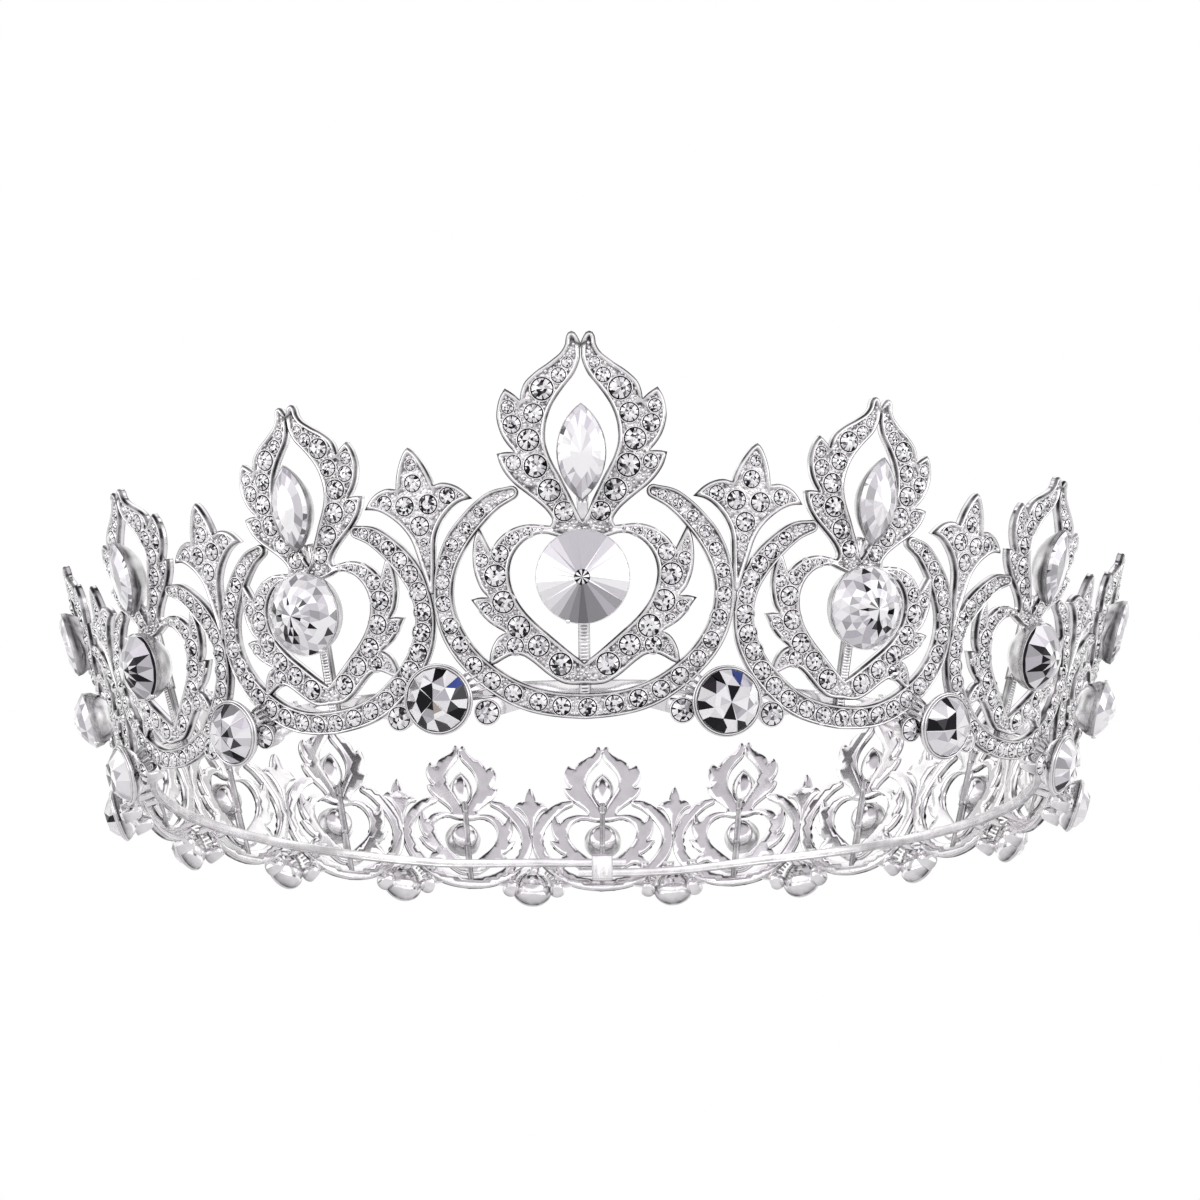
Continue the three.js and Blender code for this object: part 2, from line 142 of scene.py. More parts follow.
def inside(points, loops):
    """Even-odd test of each point against all loops together."""
    x, y = points[:, 0], points[:, 1]
    odd = np.zeros(len(points), bool)
    for L in loops:
        a, b = L, np.roll(L, -1, axis=0)
        for (x1, y1), (x2, y2) in zip(a, b):
            if y1 == y2:
                continue
            hit = ((y1 > y) != (y2 > y)) & (x < (x2 - x1) * (y - y1) / (y2 - y1) + x1)
            odd ^= hit
    return odd


def edge_distance(points, loops):
    out = np.full(len(points), 1e9)
    for L in loops:
        a, b = L, np.roll(L, -1, axis=0)
        ab = b - a
        l2 = (ab**2).sum(1).clip(1e-12)
        for s in range(0, len(points), 1500):
            p = points[s : s + 1500, None, :]
            t = (((p - a) * ab).sum(2) / l2).clip(0, 1)
            d = np.sqrt(((p - (a + t[..., None] * ab)) ** 2).sum(2)).min(1)
            out[s : s + 1500] = np.minimum(out[s : s + 1500], d)
    return out


def fill(loops, rings, pitch):
    """Triangles over the area between the loops: points on the loops, on offsets of them and on a grid."""
    pts, edges = [], []
    for L in loops:
        n0 = len(pts)
        pts += [tuple(p) for p in L]
        edges += [(n0 + i, n0 + (i + 1) % len(L)) for i in range(len(L))]
    nb = len(pts)
    allp = np.array(pts)
    extra = []
    for L in loops:
        t = np.roll(L, -1, axis=0) - np.roll(L, 1, axis=0)
        t /= np.linalg.norm(t, axis=1)[:, None].clip(1e-9)
        n = np.stack([-t[:, 1], t[:, 0]], -1)
        sign = np.where(inside(L + n * 0.03, loops), 1.0, -1.0)
        for d in rings:
            extra.append(np.hstack([L + n * (sign * d)[:, None], np.full((len(L), 1), d)]))
    extra = np.vstack(extra) if extra else np.zeros((0, 3))
    lo, hi = allp.min(0), allp.max(0)
    gx, gy = np.meshgrid(np.arange(lo[0], hi[0], pitch), np.arange(lo[1], hi[1], pitch * 0.866))
    gx[1::2] += pitch / 2
    grid = np.stack([gx.ravel(), gy.ravel()], -1)
    last = rings[-1] if rings else 0.0
    keep = []
    ok = inside(extra[:, :2], loops) & (edge_distance(extra[:, :2], loops) > extra[:, 2] * 0.93)
    keep.append(extra[ok, :2])
    ok = inside(grid, loops)
    grid = grid[ok]
    grid = grid[edge_distance(grid, loops) > last + pitch * 0.35]
    keep.append(grid)
    inner = np.vstack(keep)
    cell = {}
    chosen = []
    tol = 0.11
    for p in inner:
        k = (int(p[0] // tol), int(p[1] // tol))
        if any((k[0] + i, k[1] + j) in cell and np.hypot(*(cell[(k[0] + i, k[1] + j)] - p)) < tol for i in (-1, 0, 1) for j in (-1, 0, 1)):
            continue
        cell[k] = p
        chosen.append(p)
    allp = np.vstack([allp] + ([np.array(chosen)] if chosen else []))
    v, e, f, _, _, _ = delaunay_2d_cdt([Vector(p) for p in allp.tolist()], edges, [], 0, 1e-6)
    v = np.array([tuple(p) for p in v])
    f = np.array([list(t) for t in f])
    c = v[f].mean(1)
    f = f[inside(c, loops)]
    a = v[f[:, 1]] - v[f[:, 0]]
    b = v[f[:, 2]] - v[f[:, 0]]
    cross = a[:, 0] * b[:, 1] - a[:, 1] * b[:, 0]
    f[cross < 0] = f[cross < 0][:, ::-1]
    f = f[np.abs(cross) > 1e-7]
    return v, f, nb


def ramp(d, table):
    return np.interp(d, [t[0] for t in table], [t[1] for t in table])


# height of a casting's face against the distance from its edge: a rounded wire rim, then the sunk field
RIM = [(0, -0.34), (0.08, -0.13), (0.17, -0.01), (0.33, 0.04), (0.48, -0.02), (0.58, -0.2), (0.64, -0.42), (1.0, -0.40)]
FIELD = [(0.56, 0.0), (0.66, 1.0)]
# painted shade against the distance from the edge: dark at the outer edge and in a band just inside the rim
LINE = [(0, 1.0), (0.10, 0.95), (0.17, 0.0), (0.50, 0.0), (0.58, 1.0), (0.68, 1.0), (0.78, 0.0)]
BACK = [(0, -1.2), (0.09, -1.33), (0.22, -1.39), (0.8, -1.4)]


def plate(loops, wall=0.0, rim=1.0):
    """Solid casting over the loops, in flat (u, v, w). wall is the painted shade on the side walls. Returns verts,
    faces, recess and the painted shade per vertex.
    """
    v, f, nb = fill(loops, [x * rim for x in (0.09, 0.18, 0.36, 0.49, 0.59, 0.69, 0.8)], 0.85)
    d = edge_distance(v, loops) / rim
    d[:nb] = 0
    verts = [np.column_stack([v, ramp(d, RIM)])]
    faces, recess, painted_shade = [f], [ramp(d, FIELD)], [ramp(d, LINE)]
    n = len(v)
    vb, fb, nbb = fill(loops, [0.18], 1.7)
    db = edge_distance(vb, loops)
    db[:nbb] = 0
    verts.append(np.column_stack([vb, ramp(db, BACK)]))
    faces.append(fb[:, ::-1] + n)
    recess.append(np.zeros(len(vb)))
    painted_shade.append(np.zeros(len(vb)))
    total = n + len(vb)
    quads = []
    i0 = 0
    for L in loops:
        m = len(L)
        area = 0.5 * np.sum(L[:, 0] * np.roll(L[:, 1], -1) - np.roll(L[:, 0], -1) * L[:, 1])
        hole = inside(L[:1] + 0, [q for q in loops if q is not L])[0]
        solid_left = (area > 0) != hole
        rows = [n + i0]
        # rows down the side wall with their painted shade: dark bands by the back and just under the face, the amount
        # wall between
        for w, dark in ((-1.14, 0.75), (-1.0, wall), (-0.66, wall), (-0.52, 0.9), (-0.42, 0.9)):
            verts.append(np.column_stack([L, np.full(m, w)]))
            recess.append(np.zeros(m))
            painted_shade.append(np.full(m, dark))
            rows.append(total)
            total += m
        rows.append(i0)
        for lo, hi in zip(rows, rows[1:]):
            for i in range(m):
                j = (i + 1) % m
                q = (lo + i, lo + j, hi + j, hi + i)
                quads.append(q if solid_left else q[::-1])
        i0 += m
    return np.vstack(verts), [f.tolist() for f in faces] + [quads], np.concatenate(recess), np.concatenate(painted_shade)


class Build:
    """Collects pieces of one object."""

    def __init__(self):
        self.v, self.f, self.m, self.r, self.c, self.s, self.n = [], [], [], [], [], [], 0

    def add(self, verts, faces, mat=0, recess=None, painted_shade=None, smooth=True):
        verts = np.asarray(verts, float)
        self.v.append(verts)
        n = self.n
        k = 0
        for fs in faces:
            self.f.append(tuple(i + n for i in fs))
            k += 1
        self.m += [mat] * k if isinstance(mat, int) else list(mat)
        self.s += [smooth] * k
        self.r.append(np.zeros(len(verts)) if recess is None else np.asarray(recess, float))
        self.c.append(np.zeros(len(verts)) if painted_shade is None else np.asarray(painted_shade, float))
        self.n += len(verts)

    def make(self, name, mats, node, slot, auto=None):
        v = np.vstack(self.v) * 0.001
        me = bpy.data.meshes.new(name)
        me.from_pydata(v.tolist(), [], self.f)
        me.validate(verbose=False)
        for m in mats:
            me.materials.append(m)
        if len(me.polygons) == len(self.m):
            me.polygons.foreach_set("material_index", self.m)
            me.polygons.foreach_set("use_smooth", self.s)
        else:
            print("face count changed in", name, len(me.polygons), len(self.m))
        if len(me.vertices) == self.n:
            # the recess field and the painted shade, per vertex
            for word, data in (("recess", self.r), ("painted_shade", self.c)):
                at = me.attributes.new(word, "FLOAT", "POINT")
                at.data.foreach_set("value", np.concatenate(data))
        me.update()
        ob = bpy.data.objects.new(name, me)
        bpy.context.scene.collection.objects.link(ob)
        if auto is not None:
            me.set_sharp_from_angle(angle=math.radians(auto))
        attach(ob, "root")
        if node:
            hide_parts(*([node] if isinstance(node, str) else node))
        return ob


def roll(P, az0, su=1.0, sv=1.0):
    """Flat (u, v, w) of a motif at azimuth az0 (degrees) to crown space."""
    u, v, w = P[:, 0], P[:, 1] * sv, P[:, 2]
    a = math.radians(az0) + u * su / (R0 + v * SIN)
    rho = R0 + v * SIN + w * COS
    return np.column_stack([rho * np.sin(a), AXIS_Y - rho * np.cos(a), v * COS - w * SIN + STONE_LINE])


def basis(az0, u, v, w, spin=0.0, tip=(0.0, 0.0)):
    """Origin and axes (side, up, out) of a small piece on the face. u and v are real millimetres."""
    a = math.radians(az0) + u / (R0 + v * SIN)
    rho = R0 + v * SIN + w * COS
    o = np.array([rho * math.sin(a), AXIS_Y - rho * math.cos(a), v * COS - w * SIN + STONE_LINE])
    side = np.array([math.cos(a), math.sin(a), 0.0])
    up = np.array([SIN * math.sin(a), -SIN * math.cos(a), COS])
    out = np.cross(side, up)
    if tip != (0.0, 0.0):
        out = out + side * tip[0] + up * tip[1]
        out /= np.linalg.norm(out)
        side = side - out * side.dot(out)
        side /= np.linalg.norm(side)
        up = np.cross(out, side)
    c, s = math.cos(spin), math.sin(spin)
    return o, side * c + up * s, up * c - side * s, out


def put(P, b):
    o, s, u, n = b
    P = np.asarray(P, float)
    return o + P[:, :1] * s + P[:, 1:2] * u + P[:, 2:3] * n


# ------------------------------------------------------------------ materials
def principled(name):
    m = bpy.data.materials.new(name)
    m.use_nodes = True
    nt = m.node_tree
    b = nt.nodes["Principled BSDF"]
    return m, nt, b


def silver_material(name, grain):
    """Bright silver plate. The attribute recess marks the granular sunk field; the second attribute gives painted
    shade, dark lines in crevices, along edges and on the shaded sides of cups and wires.
    """
    m, nt, b = principled(name)
    N, L = nt.nodes, nt.links
    b.inputs["Metallic"].default_value = 1.0

    def attribute(word):
        x = N.new("ShaderNodeAttribute")
        x.attribute_name = word
        return x.outputs["Fac"]

    def texture(kind, scale, detail=None):
        x = N.new(kind)
        x.inputs["Scale"].default_value = scale
        if detail is not None:
            x.inputs["Detail"].default_value = detail
        L.new(tc.outputs["Object"], x.inputs["Vector"])
        return x

    def blend(mode, fac, A, B):
        x = N.new("ShaderNodeMix")
        x.data_type = "RGBA"
        x.blend_type = mode
        for key, val in (("Factor", fac), ("A", A), ("B", B)):
            if isinstance(val, (float, tuple)):
                x.inputs[key].default_value = val
            else:
                L.new(val, x.inputs[key])
        return x.outputs["Result"]

    def math_(op, *vals):
        x = N.new("ShaderNodeMath")
        x.operation = op
        for i, val in enumerate(vals):
            if isinstance(val, float):
                x.inputs[i].default_value = val
            else:
                L.new(val, x.inputs[i])
        return x.outputs["Value"]

    def stops(value, *pairs):
        x = N.new("ShaderNodeValToRGB")
        e = x.color_ramp.elements
        while len(e) < len(pairs):
            e.new(0.5)
        for el, (pos, lev) in zip(e, pairs):
            el.position, el.color = pos, (lev, lev, lev, 1)
        L.new(value, x.inputs["Fac"])
        return x.outputs["Color"]

    tc = N.new("ShaderNodeTexCoord")
    recess, painted_shade = attribute("recess"), attribute("painted_shade")
    cloud = texture("ShaderNodeTexNoise", 330.0, 3.0)
    fine = texture("ShaderNodeTexNoise", 2400.0, 2.0)
    cell = texture("ShaderNodeTexVoronoi", 2100.0)
    # colour: bright rims and walls, a greyer field between the stones, and nearly black painted shade in the crevices
    # and along the edges the second attribute marks
    base = blend("MIX", recess, (0.975, 0.965, 0.975, 1.0), (0.95, 0.94, 0.95, 1.0))
    speck = stops(cell.outputs["Distance"], (0.0, 1.0), (0.50, 1.0), (0.86, 0.22))
    field = blend("MULTIPLY", math_("MULTIPLY", recess, 0.85), base, speck)
    broad = blend("MULTIPLY", 0.35, field, stops(cloud.outputs["Fac"], (0.33, 0.66), (0.60, 1.0)))
    patchy = stops(cloud.outputs["Fac"], (0.42, 1.0), (0.62, 0.55))
    bw = N.new("ShaderNodeRGBToBW")
    L.new(patchy, bw.inputs["Color"])
    # painted shade: the marked places darkened towards black, patchy by the cloud noise
    dark = math_("MULTIPLY", painted_shade, bw.outputs["Val"])
    L.new(blend("MIX", dark, broad, (0.02, 0.02, 0.023, 1.0)), b.inputs["Base Color"])
    # roughness
    rough = math_("MULTIPLY_ADD", cloud.outputs["Fac"], 0.12, 0.04)
    rough = math_("MULTIPLY_ADD", recess, 0.16, rough)
    L.new(math_("MULTIPLY_ADD", painted_shade, 0.3, rough), b.inputs["Roughness"])
    # relief: cells in the field, a faint cast ripple elsewhere
    h = math_("MULTIPLY_ADD", fine.outputs["Fac"], 0.12, math_("MULTIPLY", cell.outputs["Distance"], math_("MULTIPLY", recess, -1.0)))
    bump = N.new("ShaderNodeBump")
    bump.inputs["Strength"].default_value = grain
    bump.inputs["Distance"].default_value = 0.00022
    L.new(h, bump.inputs["Height"])
    L.new(bump.outputs["Normal"], b.inputs["Normal"])
    return m


def facet(name, colour, metal=0.55, rough=0.05, coat=0.7):
    """One painted reflection tone of a foil-backed crystal facet, a fixed colour under its polished surface."""
    m, nt, b = principled(name)
    b.inputs["Base Color"].default_value = (*colour, 1)
    b.inputs["Metallic"].default_value = metal
    b.inputs["Roughness"].default_value = rough
    b.inputs["Coat Weight"].default_value = coat
    b.inputs["Coat Roughness"].default_value = 0.02
    b.inputs["Coat IOR"].default_value = 1.5
    return m


silver = silver_material("silver_plate", 0.55)
silver_wire = silver_material("silver_wire", 0.3)
# the facets' painted reflections: each facet keeps one fixed tone, from painted glints to painted dark reflection
TONES = [
    facet("painted_reflection_white", (0.98, 0.98, 0.985), 0.38),
    facet("painted_reflection_pale", (0.86, 0.855, 0.875), 0.42),
    facet("painted_reflection_mist", (0.70, 0.685, 0.72), 0.45),
    facet("painted_reflection_lilac", (0.55, 0.53, 0.58)),
    facet("painted_reflection_smoke", (0.41, 0.405, 0.42)),
    facet("painted_reflection_steel", (0.29, 0.285, 0.30)),
    facet("painted_reflection_grey", (0.17, 0.168, 0.18)),
    facet("painted_reflection_dusk", (0.075, 0.073, 0.08), 1.0, 0.04, 0.4),
    facet("painted_reflection_dark", (0.012, 0.011, 0.014), 1.0, 0.04, 0.25),
    facet("painted_reflection_blue", (0.035, 0.062, 0.24), 1.0, 0.04, 0.4),
    facet("painted_reflection_warm", (0.42, 0.36, 0.33)),
]
WHITE, PALE, MIST, LILAC, SMOKE, STEEL, GREY, DUSK, DARK, BLUE, WARM = range(11)


# ------------------------------------------------------------------ small pieces, in their own (x, y, out) space
def lathe(profile, n):
    """Surface of revolution from (radius, height, painted shade) points, bottom to top, normals out."""
    verts, faces, rows, dark = [], [], [], []
    for r, z, *c in profile:
        dark += [c[0] if c else 0.0] * (1 if r < 1e-6 else n)
        if r < 1e-6:
            rows.append([len(verts)])
            verts.append((0, 0, z))
        else:
            rows.append(list(range(len(verts), len(verts) + n)))
            for i in range(n):
                t = 2 * math.pi * i / n
                verts.append((r * math.cos(t), r * math.sin(t), z))
    for a, b in zip(rows, rows[1:]):
        for i in range(n):
            j = (i + 1) % n
            if len(a) == 1 and len(b) == 1:
                continue
            if len(a) == 1:
                faces.append((a[0], b[j], b[i]))
            elif len(b) == 1:
                faces.append((a[i], a[j], b[0]))
            else:
                faces.append((a[i], a[j], b[j], b[i]))
    return np.array(verts), faces, dark


def draw(rnd, table):
    """A tone picked by weight."""
    x = rnd.random() * sum(w for _, w in table)
    for tone, w in table:
        x -= w
        if x <= 0:
            return tone
    return table[-1][0]


# weights of painted reflection tones: GLINT glints mixed with dark, SPARK bright glints, SHADE dark gaps, SOFT pale
GLINT = [(WHITE, 8.5), (PALE, 2), (MIST, 1), (LILAC, 1.2), (SMOKE, 1.2), (GREY, 1.4), (DUSK, 1.5), (DARK, 2.7)]
SPARK = [(WHITE, 10), (PALE, 2), (MIST, 0.7)]
SHADE = [(GREY, 1), (DUSK, 2), (DARK, 6)]
SOFT = [(WHITE, 6), (PALE, 4), (MIST, 3), (LILAC, 1.5)]


def brilliant(r, rnd, n=8):
    """Small round stone: petals of painted highlight with gaps of painted dark reflection about a flecked table. Girdle
    at height 0.
    """
    verts, faces, mats = [], [], []

    def add(points, tone):
        k = len(verts)
        verts.extend(points)
        faces.append(tuple(range(k, k + len(points))))
        mats.append(tone)

    def P(rad, a, z):
        return (rad * r * math.cos(a), rad * r * math.sin(a), z * r)

    rt, zt = 0.53, 0.34
    cx, cy = rnd.uniform(-0.12, 0.12), rnd.uniform(-0.12, 0.12)
    centre = (cx * r, cy * r, 0.31 * r)
    step = 2 * math.pi / n
    for i in range(n):
        a0, am, a1 = i * step, (i + 0.5) * step, (i + 1) * step
        gap = rnd.uniform(0.13, 0.27) * step
        mid = 0.27 + rnd.uniform(-0.06, 0.06)
        # table: a wedge in two tones
        lift = 0.012 if i % 2 else -0.012
        add([centre, P(mid, a0, zt + lift), P(mid, a1, zt + lift)], draw(rnd, GLINT))
        add([P(mid, a0, zt + lift), P(rt, a0, zt), P(rt, a1, zt), P(mid, a1, zt + lift)], draw(rnd, GLINT))
        # crown: a petal of painted highlight between two gaps of painted dark reflection
        add([P(rt, a0, zt), P(0.95, a0, 0.06), P(0.95, a0 + gap, 0.06), P(0.80, a0 + gap, 0.19)], draw(rnd, SHADE))
        add([P(rt, a0, zt), P(0.80, a0 + gap, 0.19), P(0.80, am, 0.2), P(rt, a1, zt)], draw(rnd, GLINT))
        add([P(0.80, a0 + gap, 0.19), P(0.95, a0 + gap, 0.06), P(0.95, am, 0.06), P(0.80, am, 0.2)], draw(rnd, SPARK))
        add([P(0.80, am, 0.2), P(0.95, am, 0.06), P(0.95, a1, 0.06), P(rt, a1, zt)], draw(rnd, SPARK if rnd.random() < 0.7 else GLINT))
        # girdle, in painted dark reflection
        add([P(0.95, a0, 0.06), P(1.0, a0, -0.04), P(1.0, am, -0.04), P(0.95, am, 0.06)], DARK)
        add([P(0.95, am, 0.06), P(1.0, am, -0.04), P(1.0, a1, -0.04), P(0.95, a1, 0.06)], DARK)
        add([P(1.0, a0, -0.04), P(1.0, a0, -0.3), P(1.0, a1, -0.3), P(1.0, a1, -0.04)], DARK)
    return np.array(verts), faces, mats


def chaton(r, rnd, table=None, crown=None, turn=None):
    """8 mm junction stone. Girdle at height 0, flat table above; the pavilion's edges are painted as white highlight
    lines.
    """
    n = 8
    verts, faces, mats = [], [], []

    def add(points, tone):
        k = len(verts)
        verts.extend(points)
        faces.append(tuple(range(k, k + len(points))))
        mats.append(tone)

    def P(rad, a, z):
        return (rad * r * math.cos(a), rad * r * math.sin(a), z * r)

    if table is None:
        table = [draw(rnd, [(WHITE, 5), (PALE, 4), (MIST, 3), (LILAC, 2), (DARK, 1.6), (WARM, 0.3)]) for _ in range(8)]
    if crown is None:
        crown = [draw(rnd, [(WHITE, 6), (PALE, 4), (MIST, 3), (LILAC, 2), (SMOKE, 1), (DARK, 1.8), (BLUE, 0.12), (WARM, 0.4)]) for _ in range(16)]
    off = rnd.uniform(0, 0.4) if turn is None else turn
    rt, zt = 0.56, 0.42
    cx, cy = rnd.uniform(-0.04, 0.04), rnd.uniform(-0.04, 0.04)
    centre = (cx * r, cy * r, zt * r)
    step = 2 * math.pi / n
    line = 0.03
    for i in range(n):
        a0, a1 = off + i * step, off + (i + 1) * step
        am = (a0 + a1) / 2
        lift = 0.010 if i % 2 else -0.010
        ray = i % 2 == 0
        b0 = a0 + (line if ray else 0)
        b1 = a1 - (0 if ray else line)
        q = 0.34 + rnd.uniform(-0.05, 0.07)
        add([centre, P(q, b0, zt + lift), P(q, b1, zt + lift)], table[i])
        outer = table[i] if rnd.random() < 0.6 else draw(rnd, GLINT if table[i] >= GREY else SOFT)
        add([P(q, b0, zt + lift), P(rt, b0, zt), P(rt, b1, zt), P(q, b1, zt + lift)], outer)
        # painted white highlight lines in place of the pavilion's edges
        if ray:
            add([centre, P(rt, a0 - line, zt + 0.012), P(rt, b0, zt + 0.012)], WHITE)
            add([P(rt, a0 - line * 0.9, zt + 0.012), P(0.98, a0 - line * 0.5, 0.04), P(0.98, a0 + line * 0.5, 0.04), P(rt, a0 + line * 0.9, zt + 0.012)], WHITE)
        # crown
        k = 0.79 + rnd.uniform(-0.03, 0.03)
        g = rnd.uniform(-0.12, 0.12) * step
        add([P(rt, a0, zt), P(k, am + g, 0.235), P(rt, a1, zt)], draw(rnd, [(WHITE, 4), (PALE, 3), (LILAC, 2), (DUSK, 1)]))
        add([P(rt, a0, zt), P(0.98, a0, 0.03), P(0.98, am + g, 0.03), P(k, am + g, 0.235)], crown[2 * i])
        add([P(k, am + g, 0.235), P(0.98, am + g, 0.03), P(0.98, a1, 0.03), P(rt, a1, zt)], crown[2 * i + 1])
    # girdle band in painted grey shade
    m = 48
    for i in range(m):
        a0, a1 = 2 * math.pi * i / m, 2 * math.pi * (i + 1) / m
        add([P(0.96, a0, 0.035), P(1.0, a0, -0.03), P(1.0, a1, -0.03), P(0.96, a1, 0.035)], SMOKE)
        add([P(1.0, a0, -0.03), P(1.0, a0, -0.16), P(1.0, a1, -0.16), P(1.0, a1, -0.03)], GREY)
    return np.array(verts), faces, mats


# painted reflection tones of the front stone's wedges, lighter and darker by direction: (up to this many degrees
# anticlockwise from the right, tones in turn)
WEDGES = [(30, (WHITE,)), (44, (PALE,)), (150, (MIST,)), (158, (PALE,)), (205, (WHITE,)), (220, (PALE,)), (236, (MIST, SMOKE)), (262, (STEEL, SMOKE)), (290, (STEEL, GREY)), (306, (SMOKE, STEEL)), (322, (LILAC, SMOKE)), (338, (MIST,)), (361, (WHITE,))]


def pointed_round(r, rnd):
    """The front motif's 12 mm stone: narrow wedges in painted reflection tones up to a small star of painted dark and
    white. Girdle at height 0.
    """
    n = 28
    verts, faces, mats = [], [], []

    def add(points, tone):
        k = len(verts)
        verts.extend(points)
        faces.append(tuple(range(k, k + len(points))))
        mats.append(tone)

    def P(rad, a, z):
        return (rad * r * math.cos(a), rad * r * math.sin(a), z * r)

    core, top = 0.17, 0.60
    zi = top * (1 - core)
    for i in range(n):
        a0, a1 = 2 * math.pi * (i - 0.5) / n, 2 * math.pi * (i + 0.5) / n
        # each wedge is turned a little so that neighbours catch other light
        t0, t1 = rnd.uniform(-0.012, 0.012), rnd.uniform(-0.012, 0.012)
        tones = next(t for upto, t in WEDGES if 360.0 * i / n < upto)
        add([P(1, a0, 0), P(1, a1, 0), P(core, a1, zi + t1), P(core, a0, zi + t0)], tones[i % len(tones)])
        add([P(1, a0, 0), P(1, a0, -0.1), P(1, a1, -0.1), P(1, a1, 0)], SMOKE)
    for i in range(16):
        a0, a1 = 2 * math.pi * i / 16, 2 * math.pi * (i + 1) / 16
        add([P(core * 1.05, a0, zi - 0.03), P(core * 1.05, a1, zi - 0.03), (0, 0, (zi + core * 0.4) * r)], DARK if i % 2 else WHITE)
    return np.array(verts), faces, mats


def domed_round(r, rnd, side):
    """The other round stones: rings of staggered facets over a low dome in painted reflection tones, painted dark
    flecks near the middle.
    The pair next to the front is finely cut; the following ones have a painted grey cast."""
    fine = abs(side) == 1
    n = 20 if fine else 14
    verts, faces, mats = [], [], []

    def add(points, tone):
        k = len(verts)
        verts.extend(points)
        faces.append(tuple(range(k, k + len(points))))
        mats.append(tone)

    radii = [1.0, 0.87, 0.70, 0.50, 0.28] if fine else [1.0, 0.80, 0.52, 0.24]
    rise = [0.0, 0.14, 0.28, 0.39, 0.46] if fine else [0.0, 0.20, 0.38, 0.47]
    if abs(side) == 2:
        radii, rise = [1.0, 0.95, 0.56, 0.26], [0.0, 0.06, 0.36, 0.47]
    last = len(radii) - 1

    def P(level, i):
        a = 2 * math.pi * (i + 0.5 * (level % 2)) / n
        return (radii[level] * r * math.cos(a), radii[level] * r * math.sin(a), rise[level] * r)

    # painted dark reflections gather to the left below the middle on the wearer's right, and mirrored
    dark_side = 3.9 if side < 0 else 5.6
    for level in range(last):
        for i in range(n):
            a = 2 * math.pi * (i + 0.5) / n
            near = max(0.0, math.cos(a - dark_side))
            if fine:
                if level == 0:
                    table = [(WHITE, 5), (PALE, 4), (MIST, 3), (LILAC, 2), (SMOKE, 1), (DUSK, 0.4 + 1.4 * near), (DARK, 0.2 + 0.8 * near)]
                elif level == 1:
                    table = [(WHITE, 4), (PALE, 4), (MIST, 4), (LILAC, 3), (SMOKE, 1), (DARK, 0.9 * near)]
                else:
                    table = [(WHITE, 4), (PALE, 3), (MIST, 2), (LILAC, 3), (SMOKE, 1), (DUSK, 0.5 + 2 * near), (DARK, 0.6 + 4 * near)]
            elif abs(side) == 2:
                table = [(MIST, 3), (LILAC, 5), (SMOKE, 3), (PALE, 1.5), (STEEL, 1), (DARK, (3 if level > 0 else 0) * near)]
            else:
                table = [(WHITE, 5), (PALE, 3), (MIST, 3), (LILAC, 2), (SMOKE, 1), (DUSK, 1.5 * near), (DARK, 1.5 * near * (level > 0))]
            A, B = (P(level, i), P(level, i + 1)), (P(level + 1, i), P(level + 1, i + 1))
            first, second = draw(rnd, table), draw(rnd, table)
            if abs(side) == 2:
                # painted black reflections by the middle and a thin painted black edge, on the side turned to the front
                turned = math.cos(a - (-0.35 if side < 0 else math.pi + 0.35))
                if level == 0:
                    first = second = DARK if turned > 0.5 else PALE
                elif level == 2 and turned > 0.6:
                    first = DARK
                elif level == 1 and turned > 0.7 and i % 2 == 0:
                    second = DARK
            if level % 2 == 0:
                add([A[0], A[1], B[0]], first)
                add([A[1], B[1], B[0]], second)
            else:
                add([A[0], A[1], B[1]], first)
                add([A[0], B[1], B[0]], second)
    for i in range(n):
        add([P(last, i), P(last, i + 1), (0, 0, 0.5 * r)], draw(rnd, GLINT))
        a, b = P(0, i), P(0, i + 1)
        add([a, (a[0], a[1], -0.1 * r), (b[0], b[1], -0.1 * r), b], SMOKE)
    return np.array(verts), faces, mats


def lens(L, W, n):
    """Marquise outline with 4n points, pointed at top and bottom."""
    R = (L * L / 4 + W * W / 4) / W
    half = math.asin(min(1, (L / 2) / R))
    pts = []
    for s in (1, -1):
        for i in range(2 * n):
            t = -half + 2 * half * i / (2 * n)
            pts.append((s * (R * math.cos(t) - (R - W / 2)), s * R * math.sin(t)))
    return np.array(pts)


